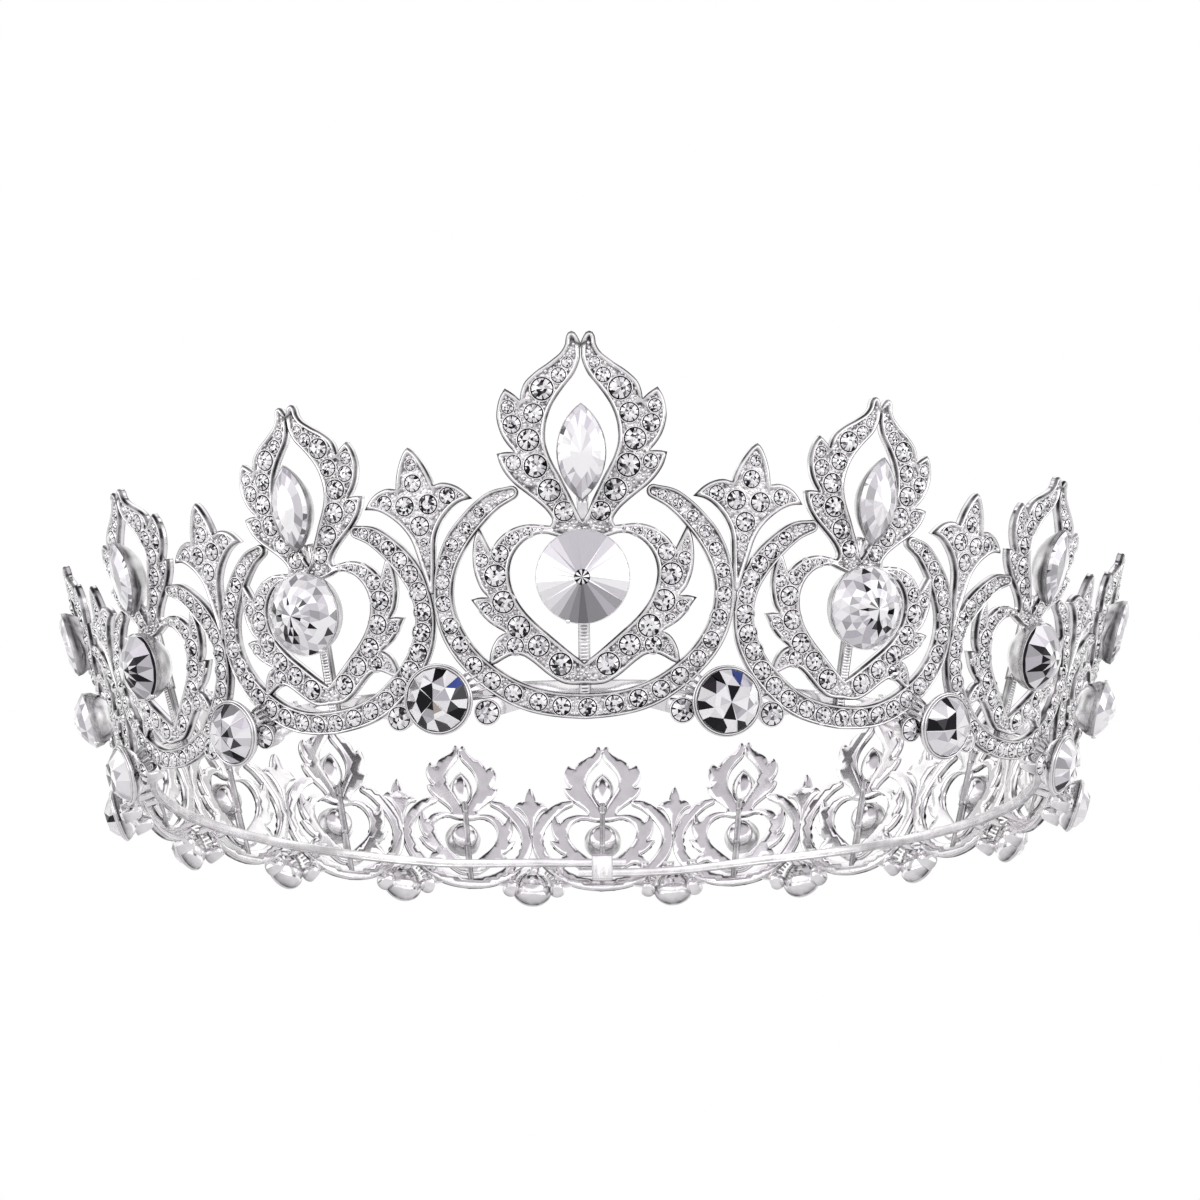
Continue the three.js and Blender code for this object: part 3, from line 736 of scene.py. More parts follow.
def marquise(L, W, rnd, grey=False):
    """Pointed oval stone: a border of small facets, a ring of long soft ones, and a ridge point, in painted reflection
    tones, mistier at the top and greyer at the bottom.
    """
    O = lens(L, W, 6)
    m = len(O)
    H = W * 0.20
    A = [(x, y, 0.0) for x, y in O]
    B = [(x * 0.83, y * 0.88, H * 0.34) for x, y in O]
    C = [(x * 0.46, y * 0.58, H * 0.76) for x, y in O]
    hub = (0.0, -L * 0.02, H * 0.95)
    verts, faces, mats = [], [], []

    def add(points, tone):
        k = len(verts)
        verts.extend(points)
        faces.append(tuple(range(k, k + len(points))))
        mats.append(tone)

    for i in range(m):
        j = (i + 1) % m
        y = (O[i][1] + O[j][1]) / L
        side = 1 if O[i][0] + O[j][0] > 0 else -1
        edge = [(WHITE, 6), (PALE, 4), (MIST, 2), (LILAC, 1), (SMOKE, 1), (GREY, 1.2), (DUSK, 0.5)]
        if y > 0.6:
            edge = [(MIST, 3), (LILAC, 1.5), (PALE, 3), (WHITE, 1)]
        elif y < -0.6:
            edge = [(LILAC, 2), (SMOKE, 2), (STEEL, 1.5), (GREY, 1), (WHITE, 2)]
        # small border facets, split corner to corner
        mid = tuple((p + q) / 2 for p, q in zip(A[i], A[j]))
        add([A[i], mid, B[i]], draw(rnd, edge))
        add([mid, A[j], B[j], B[i]], draw(rnd, edge))
        # long facets
        if y > 0.35:
            deep = [(MIST, 3), (LILAC, 1), (PALE, 4)]
        elif y > -0.1:
            deep = [(WHITE, 4), (PALE, 3), (MIST, 2)]
        elif y > -0.55:
            deep = [(WHITE, 6), (PALE, 2), (MIST, 1), (SMOKE, 0.5)]
        else:
            deep = [(WHITE, 2), (LILAC, 2), (MIST, 2), (SMOKE, 1)]
        # a greyer painted reflection cast
        if grey:
            deep = [(MIST, 4), (LILAC, 3.5), (PALE, 2), (SMOKE, 1)] if y > -0.1 else [(WHITE, 3), (MIST, 3), (PALE, 2), (LILAC, 2), (SMOKE, 1.5)]
        tone = draw(rnd, deep)
        add([B[i], B[j], C[j]], tone)
        add([B[i], C[j], C[i]], tone if rnd.random() < 0.5 else draw(rnd, deep))
        if i % 2 == 0:
            k = (i + 2) % m
            inner = [(MIST, 2), (PALE, 4), (WHITE, 1)] if y > 0.3 else [(WHITE, 9), (PALE, 1)]
            add([C[i], C[j], C[k], hub], draw(rnd, inner))
        add([A[i], (A[i][0], A[i][1], -0.3), (A[j][0], A[j][1], -0.3), A[j]], GREY)
    return np.array(verts), faces, mats


def swept(outline, profile):
    """Closed wall along an outline: profile is (outset, height, painted shade, scale) from bottom to top, first row
    capped.
    """
    O = np.asarray(outline)
    m = len(O)
    t = np.roll(O, -1, axis=0) - np.roll(O, 1, axis=0)
    t /= np.linalg.norm(t, axis=1)[:, None]
    nrm = np.stack([t[:, 1], -t[:, 0]], -1)
    verts, faces, dark = [], [], []
    for off, z, *c in profile:
        verts += [(x, y, z) for x, y in O * (c[1] if len(c) > 1 else 1.0) + nrm * off]
        dark += [c[0] if c else 0.0] * m
    for k in range(len(profile) - 1):
        for i in range(m):
            j = (i + 1) % m
            faces.append((k * m + i, k * m + j, (k + 1) * m + j, (k + 1) * m + i))
    faces.append(tuple(range(m))[::-1])
    return np.array(verts), faces, dark


def bead(r, n=8):
    # painted shade round the bead's foot
    prof = [(r * 1.25, -0.1 * r, 0.75), (r, 0.0, 0.35), (r * 0.98, 0.2 * r), (r * 0.78, 0.6 * r), (r * 0.42, 0.9 * r), (0, r)]
    return lathe(prof, n)


def seat(r):
    """Raised ring of metal round a small stone, with painted shade inside and at its foot."""
    prof = [(r + 0.24, -0.26, 0.5), (r + 0.19, -0.18, 0.15), (r + 0.15, -0.01), (r + 0.08, 0.06), (r + 0.03, 0.04, 0.2), (r + 0.0, -0.03, 1.0), (r - 0.14, -0.12, 1.0), (r - 0.14, -0.3, 1.0)]
    return lathe(prof, 18)


# ------------------------------------------------------------------ flat solids shared by every motif
STEP = 0.5
outer_half = np.vstack([spline(SEG[k], STEP)[(0 if i == 0 else 1):] for i, k in enumerate(OUTER_ORDER)])
flame_heart = mirrored(outer_half)
flame_hole = mirrored(spline(FLAME_HOLE, STEP))
heart_hole = mirrored(spline(HEART_HOLE, STEP))
a_out, a_in = spline(ARCH_OUT, STEP), spline(ARCH_IN, STEP)


def toward(A, B):
    """Unit directions away from the nearest points of B, for each point of A."""
    gap = A[:, None, :] - B[None, :, :]
    d = gap[np.arange(len(A)), np.argmin((gap ** 2).sum(-1), axis=1)]
    return d / np.linalg.norm(d, axis=1)[:, None]


def crescent_loop(wider):
    """Crescent outline: wider is how far its inner edge is moved in along its length."""
    o = a_out + toward(a_out, a_in) * np.interp(a_out[:, 1], [19.0, 25.0, 29.0], [0.0, 0.22, 0.25])[:, None]
    n = a_in + toward(a_in, a_out) * (wider * np.interp(a_in[:, 1], [1.5, 5.0, 22.0, 27.5], [0.3, 1.0, 1.0, 0.3]) + np.interp(a_in[:, 1], [18.0, 24.0, 27.5], [0.0, 0.2, 0.25]))[:, None]
    n[-1, 0] = 0.0
    o[-1, 0] = 0.0
    # rounded end between the two edges
    mid, ax = (o[0] + n[0]) / 2, (o[0] - n[0]) / 2
    outw = np.array([-ax[1], ax[0]])
    outw = outw if outw[0] < 0 else -outw
    cap = np.array([mid + ax * math.cos(t) + outw * math.sin(t) for t in np.linspace(0, math.pi, 9)])[1:-1]
    flip = np.array([-1.0, 1.0])
    return np.vstack([o, o[:-1][::-1] * flip, cap * flip, n * flip, n[:-1][::-1], cap[::-1]])


crescent = crescent_loop(0.0)
# away from the front the crescents are a little wider on their inner side
crescent_wide = crescent_loop(0.5)

MOTIF = [plate([flame_heart, flame_hole, heart_hole]), plate([crescent], 0.4, 0.72)]
MOTIF_WIDE = [MOTIF[0], plate([crescent_wide], 0.25, 0.8)]


ARCH_STONES = [(-13.42, 25.8), (-15.34, 23.85), (-17.13, 21.77), (-18.13, 19.49), (-18.45, 17.02), (-18.36, 14.13), (-17.45, 11.17), (-16.13, 8.58), (-14.41, 5.75), (-12.02, 3.6), (-9.26, 1.85), (-5.98, 0.62), (-2.98, -0.05), (0.35, -0.25), (3.79, 0.2), (6.9, 0.95), (9.83, 2.2), (12.36, 4.0), (14.7, 6.35), (16.5, 8.9), (17.6, 11.9), (18.3, 15.0), (18.1, 18.1), (17.2, 20.85), (15.85, 23.1), (14.2, 25.0), (12.3, 26.6), (10.3, 27.65)]


STONES = []
for u, v, d in FLAME_STONES + HEART_STONES:
    STONES += [(u, v, d), (-u, v, d)]
for u, v in ARCH_STONES:
    STONES.append((u, v, float(np.interp(v, [-1, 6, 20, 28], [2.45, 2.35, 1.9, 1.3]))))
LOOPS = [[flame_heart, flame_hole, heart_hole], [crescent]]
# away from the front the crescents carry larger stones
STONES_WIDE = STONES[:-len(ARCH_STONES)]
for u, v in ARCH_STONES:
    move = float(np.interp(v, [0, 5, 22, 27], [0.05, 0.27, 0.27, 0.0]))
    t = np.array([0.0, 14.0]) - np.array([u, v])
    t /= np.linalg.norm(t)
    STONES_WIDE.append((u + t[0] * move, v + t[1] * move, float(np.interp(v, [-1, 6, 20, 24, 28], [2.6, 2.75, 2.75, 2.35, 1.75]))))
LOOPS_WIDE = [LOOPS[0], [crescent_wide]]


def bead_spots(stones, loops_list, tries, seed, clear=0.20, rmin=0.12, rmax=0.24):
    """Beads raised from the sunk field between the stones."""
    r = random.Random(seed)
    cand = []
    for u, v, d in stones:
        k = r.uniform(0, 1.5)
        for i in range(8):
            a = k + i * math.pi / 4 + r.uniform(-0.15, 0.15)
            rad = d / 2 + 0.20 + r.uniform(0.02, 0.12)
            cand.append((u + rad * math.cos(a), v + rad * math.sin(a)))
    for L in loops_list:
        lo, hi = L[0].min(0), L[0].max(0)
        for _ in range(tries):
            cand.append((r.uniform(lo[0], hi[0]), r.uniform(lo[1], hi[1])))
    cand = np.array(cand)
    ok = np.zeros(len(cand), bool)
    dist = np.zeros(len(cand))
    for L in loops_list:
        i = inside(cand, L)
        d = edge_distance(cand, L)
        ok |= i
        dist[i] = d[i]
    S = np.array(stones)
    gap = (np.hypot(cand[:, None, 0] - S[None, :, 0], cand[:, None, 1] - S[None, :, 1]) - S[None, :, 2] / 2).min(1)
    chosen = []
    for i in range(len(cand)):
        if not ok[i] or gap[i] < clear or dist[i] < 0.5:
            continue
        rad = min(rmax, max(rmin, gap[i] - 0.06), dist[i] - 0.36)
        if rad < rmin * 0.9:
            continue
        if any((cand[i][0] - x) ** 2 + (cand[i][1] - y) ** 2 < (rad + q + 0.02) ** 2 for x, y, q in chosen):
            continue
        chosen.append((cand[i][0], cand[i][1], rad))
    return chosen


BEADS = bead_spots(STONES, LOOPS, 2600, 5)
BEADS_WIDE = bead_spots(STONES_WIDE, LOOPS_WIDE, 2600, 6)
print("stones per motif", len(STONES), "beads", len(BEADS), "plate faces", [sum(len(x) for x in m[1]) for m in MOTIF])

# spray outlines, from the tip down
SPRAY = [
    [[0, 0], [0.62, -0.5], [1.2, -1.35], [1.85, -2.6], [2.35, -4.0], [2.65, -5.3]],
    [[2.65, -5.3], [3.9, -5.05], [5.3, -5.4], [6.5, -6.2], [7.6, -7.5]],
    [[7.6, -7.5], [6.1, -7.75], [4.8, -8.4], [3.4, -9.6], [2.45, -10.8], [1.85, -11.9], [1.5, -13.0]],
]
SPRAY_STONES = [(0.05, -2.35, 1.5), (-0.1, -4.8, 2.35), (-1.75, -7.7, 2.6), (1.55, -7.75, 2.6), (4.35, -6.85, 2.2), (-4.55, -7.0, 2.1), (6.1, -6.95, 0.9), (-6.15, -7.05, 0.9), (-0.1, -10.5, 2.6), (0.05, -12.7, 1.1), (0.0, -14.1, 0.7)]


def spray_parts(b):
    i = b - 1
    k, wide, tip = SPRAY_SCALE[i], SPRAY_WIDTH[i], SPRAY_TIP[i]
    low = (HEIGHT[i] + HEIGHT[i + 1]) / 2
    foot = 20.6 * low - 4.2 * low
    segs = [spline([[u * wide, tip + v * k] for u, v in s], 0.45) for s in SPRAY]
    end = segs[-1][-1]
    v_end = end[1]
    tail = spline([end, [1.05 * wide, max(foot + 2.4, v_end - 2.6)], [0.62, max(foot + 1.0, v_end - 5)], [0.42, foot + 0.2], [0.0, foot]] if v_end - foot > 5 else [end, [0.9 * wide, (v_end + foot) / 2], [0.42, foot + 0.25], [0.0, foot]], 0.45)
    half = np.vstack([segs[0], segs[1][1:], segs[2][1:], tail[1:]])
    loop = mirrored(half)
    stones = [(u * wide, tip + v * k, d * min(1, (k + wide) / 2 + 0.02)) for u, v, d in SPRAY_STONES]
    return plate([loop]), stones, bead_spots(stones, [[loop]], 500, 20 + b), foot, tip


# ------------------------------------------------------------------ assembling
def add_stones(metal, crystal, stones, beads, az, su, sv, rnd, lean=None):
    k = (su + sv) / 2 if su < 1 or sv < 1 else 1.0
    for u, v, d in stones:
        r = d / 2 * min(1.0, k * 1.03)
        b = basis(az if lean is None else az + lean(v), u * su, v * sv, -0.10, rnd.uniform(0, 6.28), (rnd.uniform(-0.05, 0.05), rnd.uniform(-0.05, 0.05)))
        pv, pf, pm = brilliant(r * 0.95, rnd, 9 if d > 2.5 else 8 if d > 1.3 else 6)
        crystal.add(put(pv, b), pf, pm, smooth=False)
        sv_, sf, sd = seat(r)
        metal.add(put(sv_, b), sf, 0, None, sd)
    for u, v, q in beads:
        bv, bf, bd = bead(q * min(1.0, k * 1.05), 7)
        b = basis(az if lean is None else az + lean(v), u * su, v * sv, -0.33, rnd.uniform(0, 6.28))
        metal.add(put(bv, b), bf, 0, None, bd)


def small_cup(metal, crystal, az, u, v, rnd):
    r = 1.52
    b = basis(az, u, v, 1.45, rnd.uniform(0, 6))
    pv, pf, pm = brilliant(r, rnd, 8)
    crystal.add(put(pv, b), pf, pm, smooth=False)
    # cup profile with painted shade on its outer side near the top and inside its rim
    prof = [(0, -3.2), (0.75, -3.12), (1.25, -2.7), (1.52, -1.7), (1.68, -0.5, 0.3), (1.74, 0.0, 0.6), (1.71, 0.08, 0.1), (1.63, 0.13), (1.56, 0.08, 0.2), (1.53, -0.02, 1.0), (1.42, -0.1, 1.0), (1.4, -0.4, 1.0)]
    cv, cf, cd = lathe(prof, 26)
    metal.add(put(cv, b), cf, 0, None, cd)


def bar(metal, az, su, sv, v0, v1, width, w_top, w_low, ribs, lean=0.0):
    """Upright bar behind the stones. With ribs it is a beaded ladder."""
    pitch = 0.10 if ribs else 1.0
    n = max(2, int((v1 - v0) / pitch))
    sec = [(-0.5, w_low), (-0.5, w_top), (-0.34, w_top + 0.06), (-0.2, w_top - 0.08), (0.0, w_top - 0.08), (0.2, w_top - 0.08), (0.34, w_top + 0.06), (0.5, w_top), (0.5, w_low)]
    verts, faces, dark = [], [], []
    for j in range(n + 1):
        v = v0 + (v1 - v0) * j / n
        wave = math.sin(2 * math.pi * v / 0.46)
        up = 0.10 * max(0.0, wave) if ribs else 0.0
        for i, (x, w) in enumerate(sec):
            verts.append((x * width, v, w + (up if 3 <= i <= 5 else 0)))
            # painted shade between the rungs and along the ladder's top edges, and along the lower edges of every bar
            dark.append((0.85 if wave < -0.3 else 0.0) if ribs and 3 <= i <= 5 else 0.8 if ribs and i in (1, 7) else 0.5 if i in (0, 8) else 0.0)
    m = len(sec)
    for j in range(n):
        for i in range(m - 1):
            faces.append((j * m + i, (j + 1) * m + i, (j + 1) * m + i + 1, j * m + i + 1))
        faces.append((j * m + m - 1, (j + 1) * m + m - 1, (j + 1) * m, j * m))
    faces.append(tuple(range(m)))
    faces.append(tuple(range(n * m, n * m + m))[::-1])
    metal.add(roll(np.array(verts), az, su, sv), faces, 0, None, dark)


def motif(metal, crystal, k, rnd):
    az, i = centre_deg(k), abs(k)
    sv = HEIGHT[i]
    reach = max(u / (R0 + v * sv * SIN) for u, v in ARCH_OUT)
    su = (math.radians(half_deg(k)) - GAP / 84.5) / reach
    for verts, faces, rec, dark in (MOTIF_WIDE if k else MOTIF):
        P = roll(verts, az, su, sv)
        metal.add(P, [f for fs in faces for f in fs], 0, rec, dark)
    add_stones(metal, crystal, STONES_WIDE if k else STONES, BEADS_WIDE if k else BEADS, az, su, sv, rnd)
    bar(metal, az, su, sv, 0.4, 12.5, 1.5, -0.42, -1.5, True)
    bar(metal, az, su, sv, 12.0, 24.6, 1.5, -0.5, -1.7, False)
    bar(metal, az, su, sv, 23.5, 27.5, 1.5, -0.7, -1.8, False)
    for side in (-1, 1):
        small_cup(metal, crystal, az, side * 12.35 * su, -0.35 * sv, rnd)
        # web from the crescent's foot to the little cup
        web = np.array([[8.4, -0.3], [11.2, -1.0], [12.6, -0.4], [13.2, 1.6], [13.6, 3.2], [12.0, 2.2], [10.2, 0.9]])
        web[:, 0] *= side
        z0, z1 = -1.25, -0.45
        n = len(web)
        v3 = np.vstack([np.column_stack([web, np.full(n, z0)]), np.column_stack([web, np.full(n, z1)])])
        fs = [tuple(range(n, 2 * n)), tuple(range(n))[::-1]] + [(a, (a + 1) % n, (a + 1) % n + n, a + n) for a in range(n)]
        if side < 0:
            fs = [f[::-1] for f in fs]
        metal.add(roll(v3, az, su, sv), fs, smooth=False)
        # solder lug back to the hoop
        c = side * 11.9 * su
        depth = (R0 + 3.1 * SIN - HOOP_OUT) / COS + 0.05
        lug = []
        for w in (-depth, -depth + 0.5, -1.5, -0.8):
            g = 1.35 if w in (-depth, -0.8) else 0.95
            lug += [(c - g, 3.1 - 0.62, w), (c + g, 3.1 - 0.62, w), (c + g * 0.8, 3.1 + 0.62, w), (c - g * 0.8, 3.1 + 0.62, w)]
        fs = [(3, 2, 1, 0), (12, 13, 14, 15)] + [(r * 4 + a, r * 4 + (a + 1) % 4, (r + 1) * 4 + (a + 1) % 4, (r + 1) * 4 + a) for r in range(3) for a in range(4)]
        metal.add(roll(np.array(lug), az, 1, 1), fs)
    return su, sv


def settings(k, rnd):
    az, i = centre_deg(k), abs(k)
    sv = HEIGHT[i]
    name = "front" if k == 0 else "back" if k == 8 else f"{'left' if k < 0 else 'right'}_{i}"
    reach = max(u / (R0 + v * sv * SIN) for u, v in ARCH_OUT)
    su = (math.radians(half_deg(k)) - 0.16 / 84.5) / reach
    # round stone: cup and stone
    r = ROUND_D[i] / 2
    b = basis(az, 0, ROUND_V * sv, 0.35 + 0.5 * r)
    s = Build()
    pv, pf, pm = pointed_round(r, rnd) if i == 0 else domed_round(r, rnd, k)
    s.add(put(pv, b), pf, pm, smooth=False)
    s.make(f"round_crystal_{name}", TONES, f"round_stone_{name}", "round_crystal")
    c = Build()
    h = -0.5 * r - 1.5
    # cup profile with painted shade rising up its back towards the rim, and inside the rim
    prof = [(0, h), (r * 0.42, h + 0.05), (r * 0.62, h + 0.35, 0.1), (r * 0.8, h + 1.15, 0.3), (r * 0.97, -0.30 * r, 0.6), (r + 0.05, -0.12 * r, 0.4), (r + 0.10, -0.03, 0.5), (r + 0.08, 0.03, 0.3), (r + 0.02, 0.04), (r - 0.06, -0.1, 1.0)]
    cv, cf, cd = lathe(prof, 64)
    c.add(put(cv, b), cf, 0, None, cd)
    # one claw over the edge
    for a in ([-1.9] if i == 0 else [-1.2, 1.9]):
        claw = [(0.0, -0.5), (0.34, -0.5), (0.34, -0.1), (0.26, 0.16), (0.0, 0.26)]
        kv, kf, kd = lathe(claw, 8)
        kv = kv + np.array([(r + 0.02) * math.cos(a), (r + 0.02) * math.sin(a), 0.05])
        c.add(put(kv, b), kf)
    c.make(f"round_cup_{name}", [silver], f"round_stone_{name}", "silver")
    # marquise
    Lm = 12.3 * min(1, sv + 0.06)
    Wm = 6.15 * (0.35 + 0.65 * su)
    b = basis(az, 0, MARQ_V * sv, 2.2, 0.0, (0.0, 0.0))
    s = Build()
    pv, pf, pm = marquise(Lm, Wm, rnd, k != 0)
    s.add(put(pv, b), pf, pm, smooth=False)
    s.make(f"marquise_crystal_{name}", TONES, f"marquise_stone_{name}", "marquise_crystal")
    c = Build()
    O = lens(Lm, Wm, 9)
    # the back's dome darkens towards its rim, painted shade, and the lip carries painted dark lines
    if i < 4:
        dome = [(0, -4.05, 0, 0.04), (0, -3.95, 0, 0.22), (0, -3.68, 0.15, 0.42), (0, -3.2, 0.3, 0.62), (0, -2.45, 0.42, 0.8), (0, -1.5, 0.5, 0.93)]
    else:
        dome = [(0, -4.05, 0, 0.04), (0, -3.85, 0, 0.34), (0, -3.5, 0, 0.6), (0, -3.05, 0.08, 0.82), (0, -2.55, 0.3, 0.97), (0, -1.7, 0.5, 1.0)]
    cv, cf, cd = swept(O, dome + [(0.0, -0.8, 0.9), (0.06, -0.55, 0.7), (0.13, -0.05, 0.5), (0.10, 0.04, 0.9), (0.02, 0.05, 0.6), (-0.05, -0.05, 1.0), (-0.08, -0.2, 1.0)])
    c.add(put(cv, b), cf, 0, None, cd)
    c.make(f"marquise_cup_{name}", [silver], f"marquise_stone_{name}", "silver", auto=50)


# painted reflection tones of the facets of the two stones beside the front motif, anticlockwise from the right
SHOWN = {
    (-1, 0): (
        [LILAC, DARK, DARK, DARK, DARK, WARM, PALE, LILAC],
        [WHITE, DARK, PALE, WHITE, SMOKE, PALE, DARK, WHITE, DARK, WHITE, DUSK, PALE, DARK, WHITE, DUSK, BLUE],
        0.75,
    ),
    (1, 0): (
        [PALE, DARK, WHITE, MIST, PALE, DARK, SMOKE, WHITE],
        [PALE, LILAC, BLUE, WHITE, DARK, DARK, SMOKE, DARK, WHITE, DARK, DARK, WHITE, DARK, PALE, WHITE, WHITE],
        0.35,
    ),
}
SHOWN[(-1, 1)] = (
    [LILAC, MIST, PALE, WHITE, PALE, MIST, SMOKE, DARK],
    [PALE, SMOKE, DARK, LILAC, WHITE, PALE, MIST, PALE, WHITE, PALE, LILAC, DARK, PALE, MIST, WHITE, LILAC],
    0.5,
)
SHOWN[(1, 1)] = (
    [WHITE, PALE, DARK, DARK, MIST, DARK, PALE, WHITE],
    [WHITE, PALE, WHITE, MIST, DARK, PALE, PALE, DARK, MIST, PALE, PALE, LILAC, LILAC, MIST, BLUE, PALE],
    0.3,
)


def junction(sign, i, rnd):
    name = f"{'left' if sign < 0 else 'right'}_{i + 1}"
    deg = JUNCTION[sign][i]
    w, v = (JUNCTION_R - R0) * COS, (JUNCTION_R - R0) * SIN + LIFT.get((sign, i), 0.0)
    b = basis(sign * deg, 0, v, w + 0.1, 0.0)
    s = Build()
    pv, pf, pm = chaton(4.22, rnd, *SHOWN.get((sign, i), (None, None, None)))
    s.add(put(pv, b), pf, pm, smooth=False)
    s.make(f"junction_crystal_{name}", TONES, f"junction_stone_{name}", "junction_crystal")
    c = Build()
    # cup profile with painted shade in a ring round the back's outer edge, and painted dark lines round the bezel and
    # inside it
    prof = [(0, -3.0), (1.4, -2.95), (2.6, -2.6), (3.5, -2.0, 0.05), (4.15, -1.3, 0.3), (4.42, -0.85, 0.7), (4.48, -0.7, 0.9), (4.52, -0.62, 0.9), (4.66, -0.52, 0.1), (4.71, -0.34, 0.4), (4.67, -0.15, 0.0), (4.58, -0.06), (4.49, -0.11, 0.9), (4.44, -0.10, 0.9), (4.40, 0.09, 0.1), (4.33, 0.18), (4.25, 0.13), (4.22, 0.0, 0.6), (4.14, -0.25, 1.0)]
    cv, cf, cd = lathe(prof, 64)
    c.add(put(cv, b), cf, 0, None, cd)
    # post back to the hoop
    depth = (R0 + 3.0 * SIN - HOOP_OUT) / COS
    post = []
    for wq, g in ((-depth, 1.3), (-depth + 0.5, 0.9), (-1.4, 0.9), (-0.6, 1.5)):
        post += [(-g, 2.3, wq), (g, 2.3, wq), (g, 3.5, wq), (-g, 3.5, wq)]
    fs = [(3, 2, 1, 0), (12, 13, 14, 15)] + [(r * 4 + a, r * 4 + (a + 1) % 4, (r + 1) * 4 + (a + 1) % 4, (r + 1) * 4 + a) for r in range(3) for a in range(4)]
    c.add(roll(np.array(post), sign * deg), fs)
    # ribbed webs from the cup to the crescents on both sides
    for side in (-1, 1):
        for q, a in enumerate((2, 13, 24, 35, 46)):
            t = math.radians(a)
            length = 3.0 - 0.25 * q
            d = np.array([side * math.cos(t), math.sin(t)])
            e = np.array([-d[1], d[0]])
            p0, p1 = d * 4.1 + np.array([0, v - 0.5]), d * (4.1 + length) + np.array([0, v - 0.5])
            z0, z1 = (0.9, -0.55)
            rib = [(*(p0 + e * 0.2), z0), (*(p0 - e * 0.2), z0), (*(p1 - e * 0.16), z1), (*(p1 + e * 0.16), z1)]
            rib += [(x, y, z - 0.7) for x, y, z in rib]
            fs = [(0, 1, 2, 3), (7, 6, 5, 4), (0, 4, 5, 1), (1, 5, 6, 2), (2, 6, 7, 3), (3, 7, 4, 0)]
            if np.cross(p1 - p0, e) > 0:
                fs = [f[::-1] for f in fs]
            # painted shade along one side of each rib
            rib_painted_dark = [0.0, 0.55, 0.55, 0.0] * 2
            c.add(roll(np.array(rib), sign * deg), fs, 0, None, rib_painted_dark)
    c.make(f"junction_cup_{name}", [silver], f"junction_stone_{name}", "silver")


sprays = {b: spray_parts(b) for b in range(1, 9)}


def add_spray(metal, crystal, b, sign, rnd):
    (verts, faces, rec, dark), stones, beads, foot, tip = sprays[b]
    az = sign * BORDER[b - 1]
    amount = 1.0 * sign if b == 1 else 0.0
    lean = lambda v: amount * min(1.0, max(0.0, (v - foot) / (tip - foot)))
    P = verts.copy()
    shift = np.radians(amount) * np.clip((P[:, 1] - foot) / (tip - foot), 0, 1)
    P[:, 0] += shift * (R0 + P[:, 1] * SIN)
    P[:, 2] += 0.12
    metal.add(roll(P, az), [f for fs in faces for f in fs], 0, rec, dark)
    add_stones(metal, crystal, stones, beads, az, 1.0, 1.0, rnd, lean)


def casting(name, motifs, borders):
    rnd = random.Random(name)
    metal, crystal = Build(), Build()
    for k in motifs:
        motif(metal, crystal, k, rnd)
    for b, sign in borders:
        add_spray(metal, crystal, b, sign, rnd)
    metal.make(name.replace("casting", "silver_work"), [silver], name, "silver")
    crystal.make(name.replace("casting", "rhinestones"), TONES, name, "round_crystal")


casting("casting_front", [-1, 0, 1], [(1, 1), (1, -1), (2, 1), (2, -1)])
for word, sign in (("left", -1), ("right", 1)):
    casting(f"casting_{word}_front", [2 * sign, 3 * sign], [(3, sign), (4, sign)])
    casting(f"casting_{word}_side", [4 * sign, 5 * sign], [(5, sign), (6, sign)])
    casting(f"casting_{word}_back", [6 * sign, 7 * sign], [(7, sign), (8, sign)])
casting("casting_back", [8], [])
for k in range(-7, 9):
    settings(k, random.Random(100 + k))
for sign in (-1, 1):
    for i in range(8):
        junction(sign, i, random.Random(300 + sign * 20 + i))

# ------------------------------------------------------------------ hoop
hoop = Build()
t2, h2 = (HOOP_OUT - HOOP_IN) / 2, (HOOP_HIGH - HOOP_LOW) / 2
sec = []
for cx, cz, a0 in ((t2, h2, 0), (-t2, h2, 90), (-t2, -h2, 180), (t2, -h2, 270)):
    for s in range(4):
        a = math.radians(a0 + s * 30)
        rr = 0.26
        sec.append((cx - math.copysign(rr, cx) + rr * math.cos(a), cz - math.copysign(rr, cz) + rr * math.sin(a)))
n = 420
span = 180 + HOOP_LAP
verts = []
for j in range(n + 1):
    deg = -span + 2 * span * j / n
    x = min(1.0, max(0.0, (abs(deg) - 150) / 22))
    rise = -math.copysign(HOOP_RISE, deg) * x * x * (3 - 2 * x)
    a = math.radians(deg)
    for e, z in sec:
        rho = (HOOP_IN + HOOP_OUT) / 2 + e
        verts.append((rho * math.sin(a), AXIS_Y - rho * math.cos(a), (HOOP_LOW + HOOP_HIGH) / 2 + z + rise + STONE_LINE))
m = len(sec)
faces = [(j * m + i, (j + 1) * m + i, (j + 1) * m + (i + 1) % m, j * m + (i + 1) % m) for j in range(n) for i in range(m)]
faces = [f[::-1] for f in faces]
faces.append(tuple(range(m)))
faces.append(tuple(range(n * m, n * m + m))[::-1])
# painted shade: darker along the band's lower edge and faintly all round
painted_low_shade = [0.45 if z < -h2 + 0.25 else 0.12 for _, z in sec]
hoop.add(np.array(verts), faces, 0, None, painted_low_shade * (n + 1))
hoop.make("hoop_wire", [silver_wire], "hoop_band", "silver", auto=50)

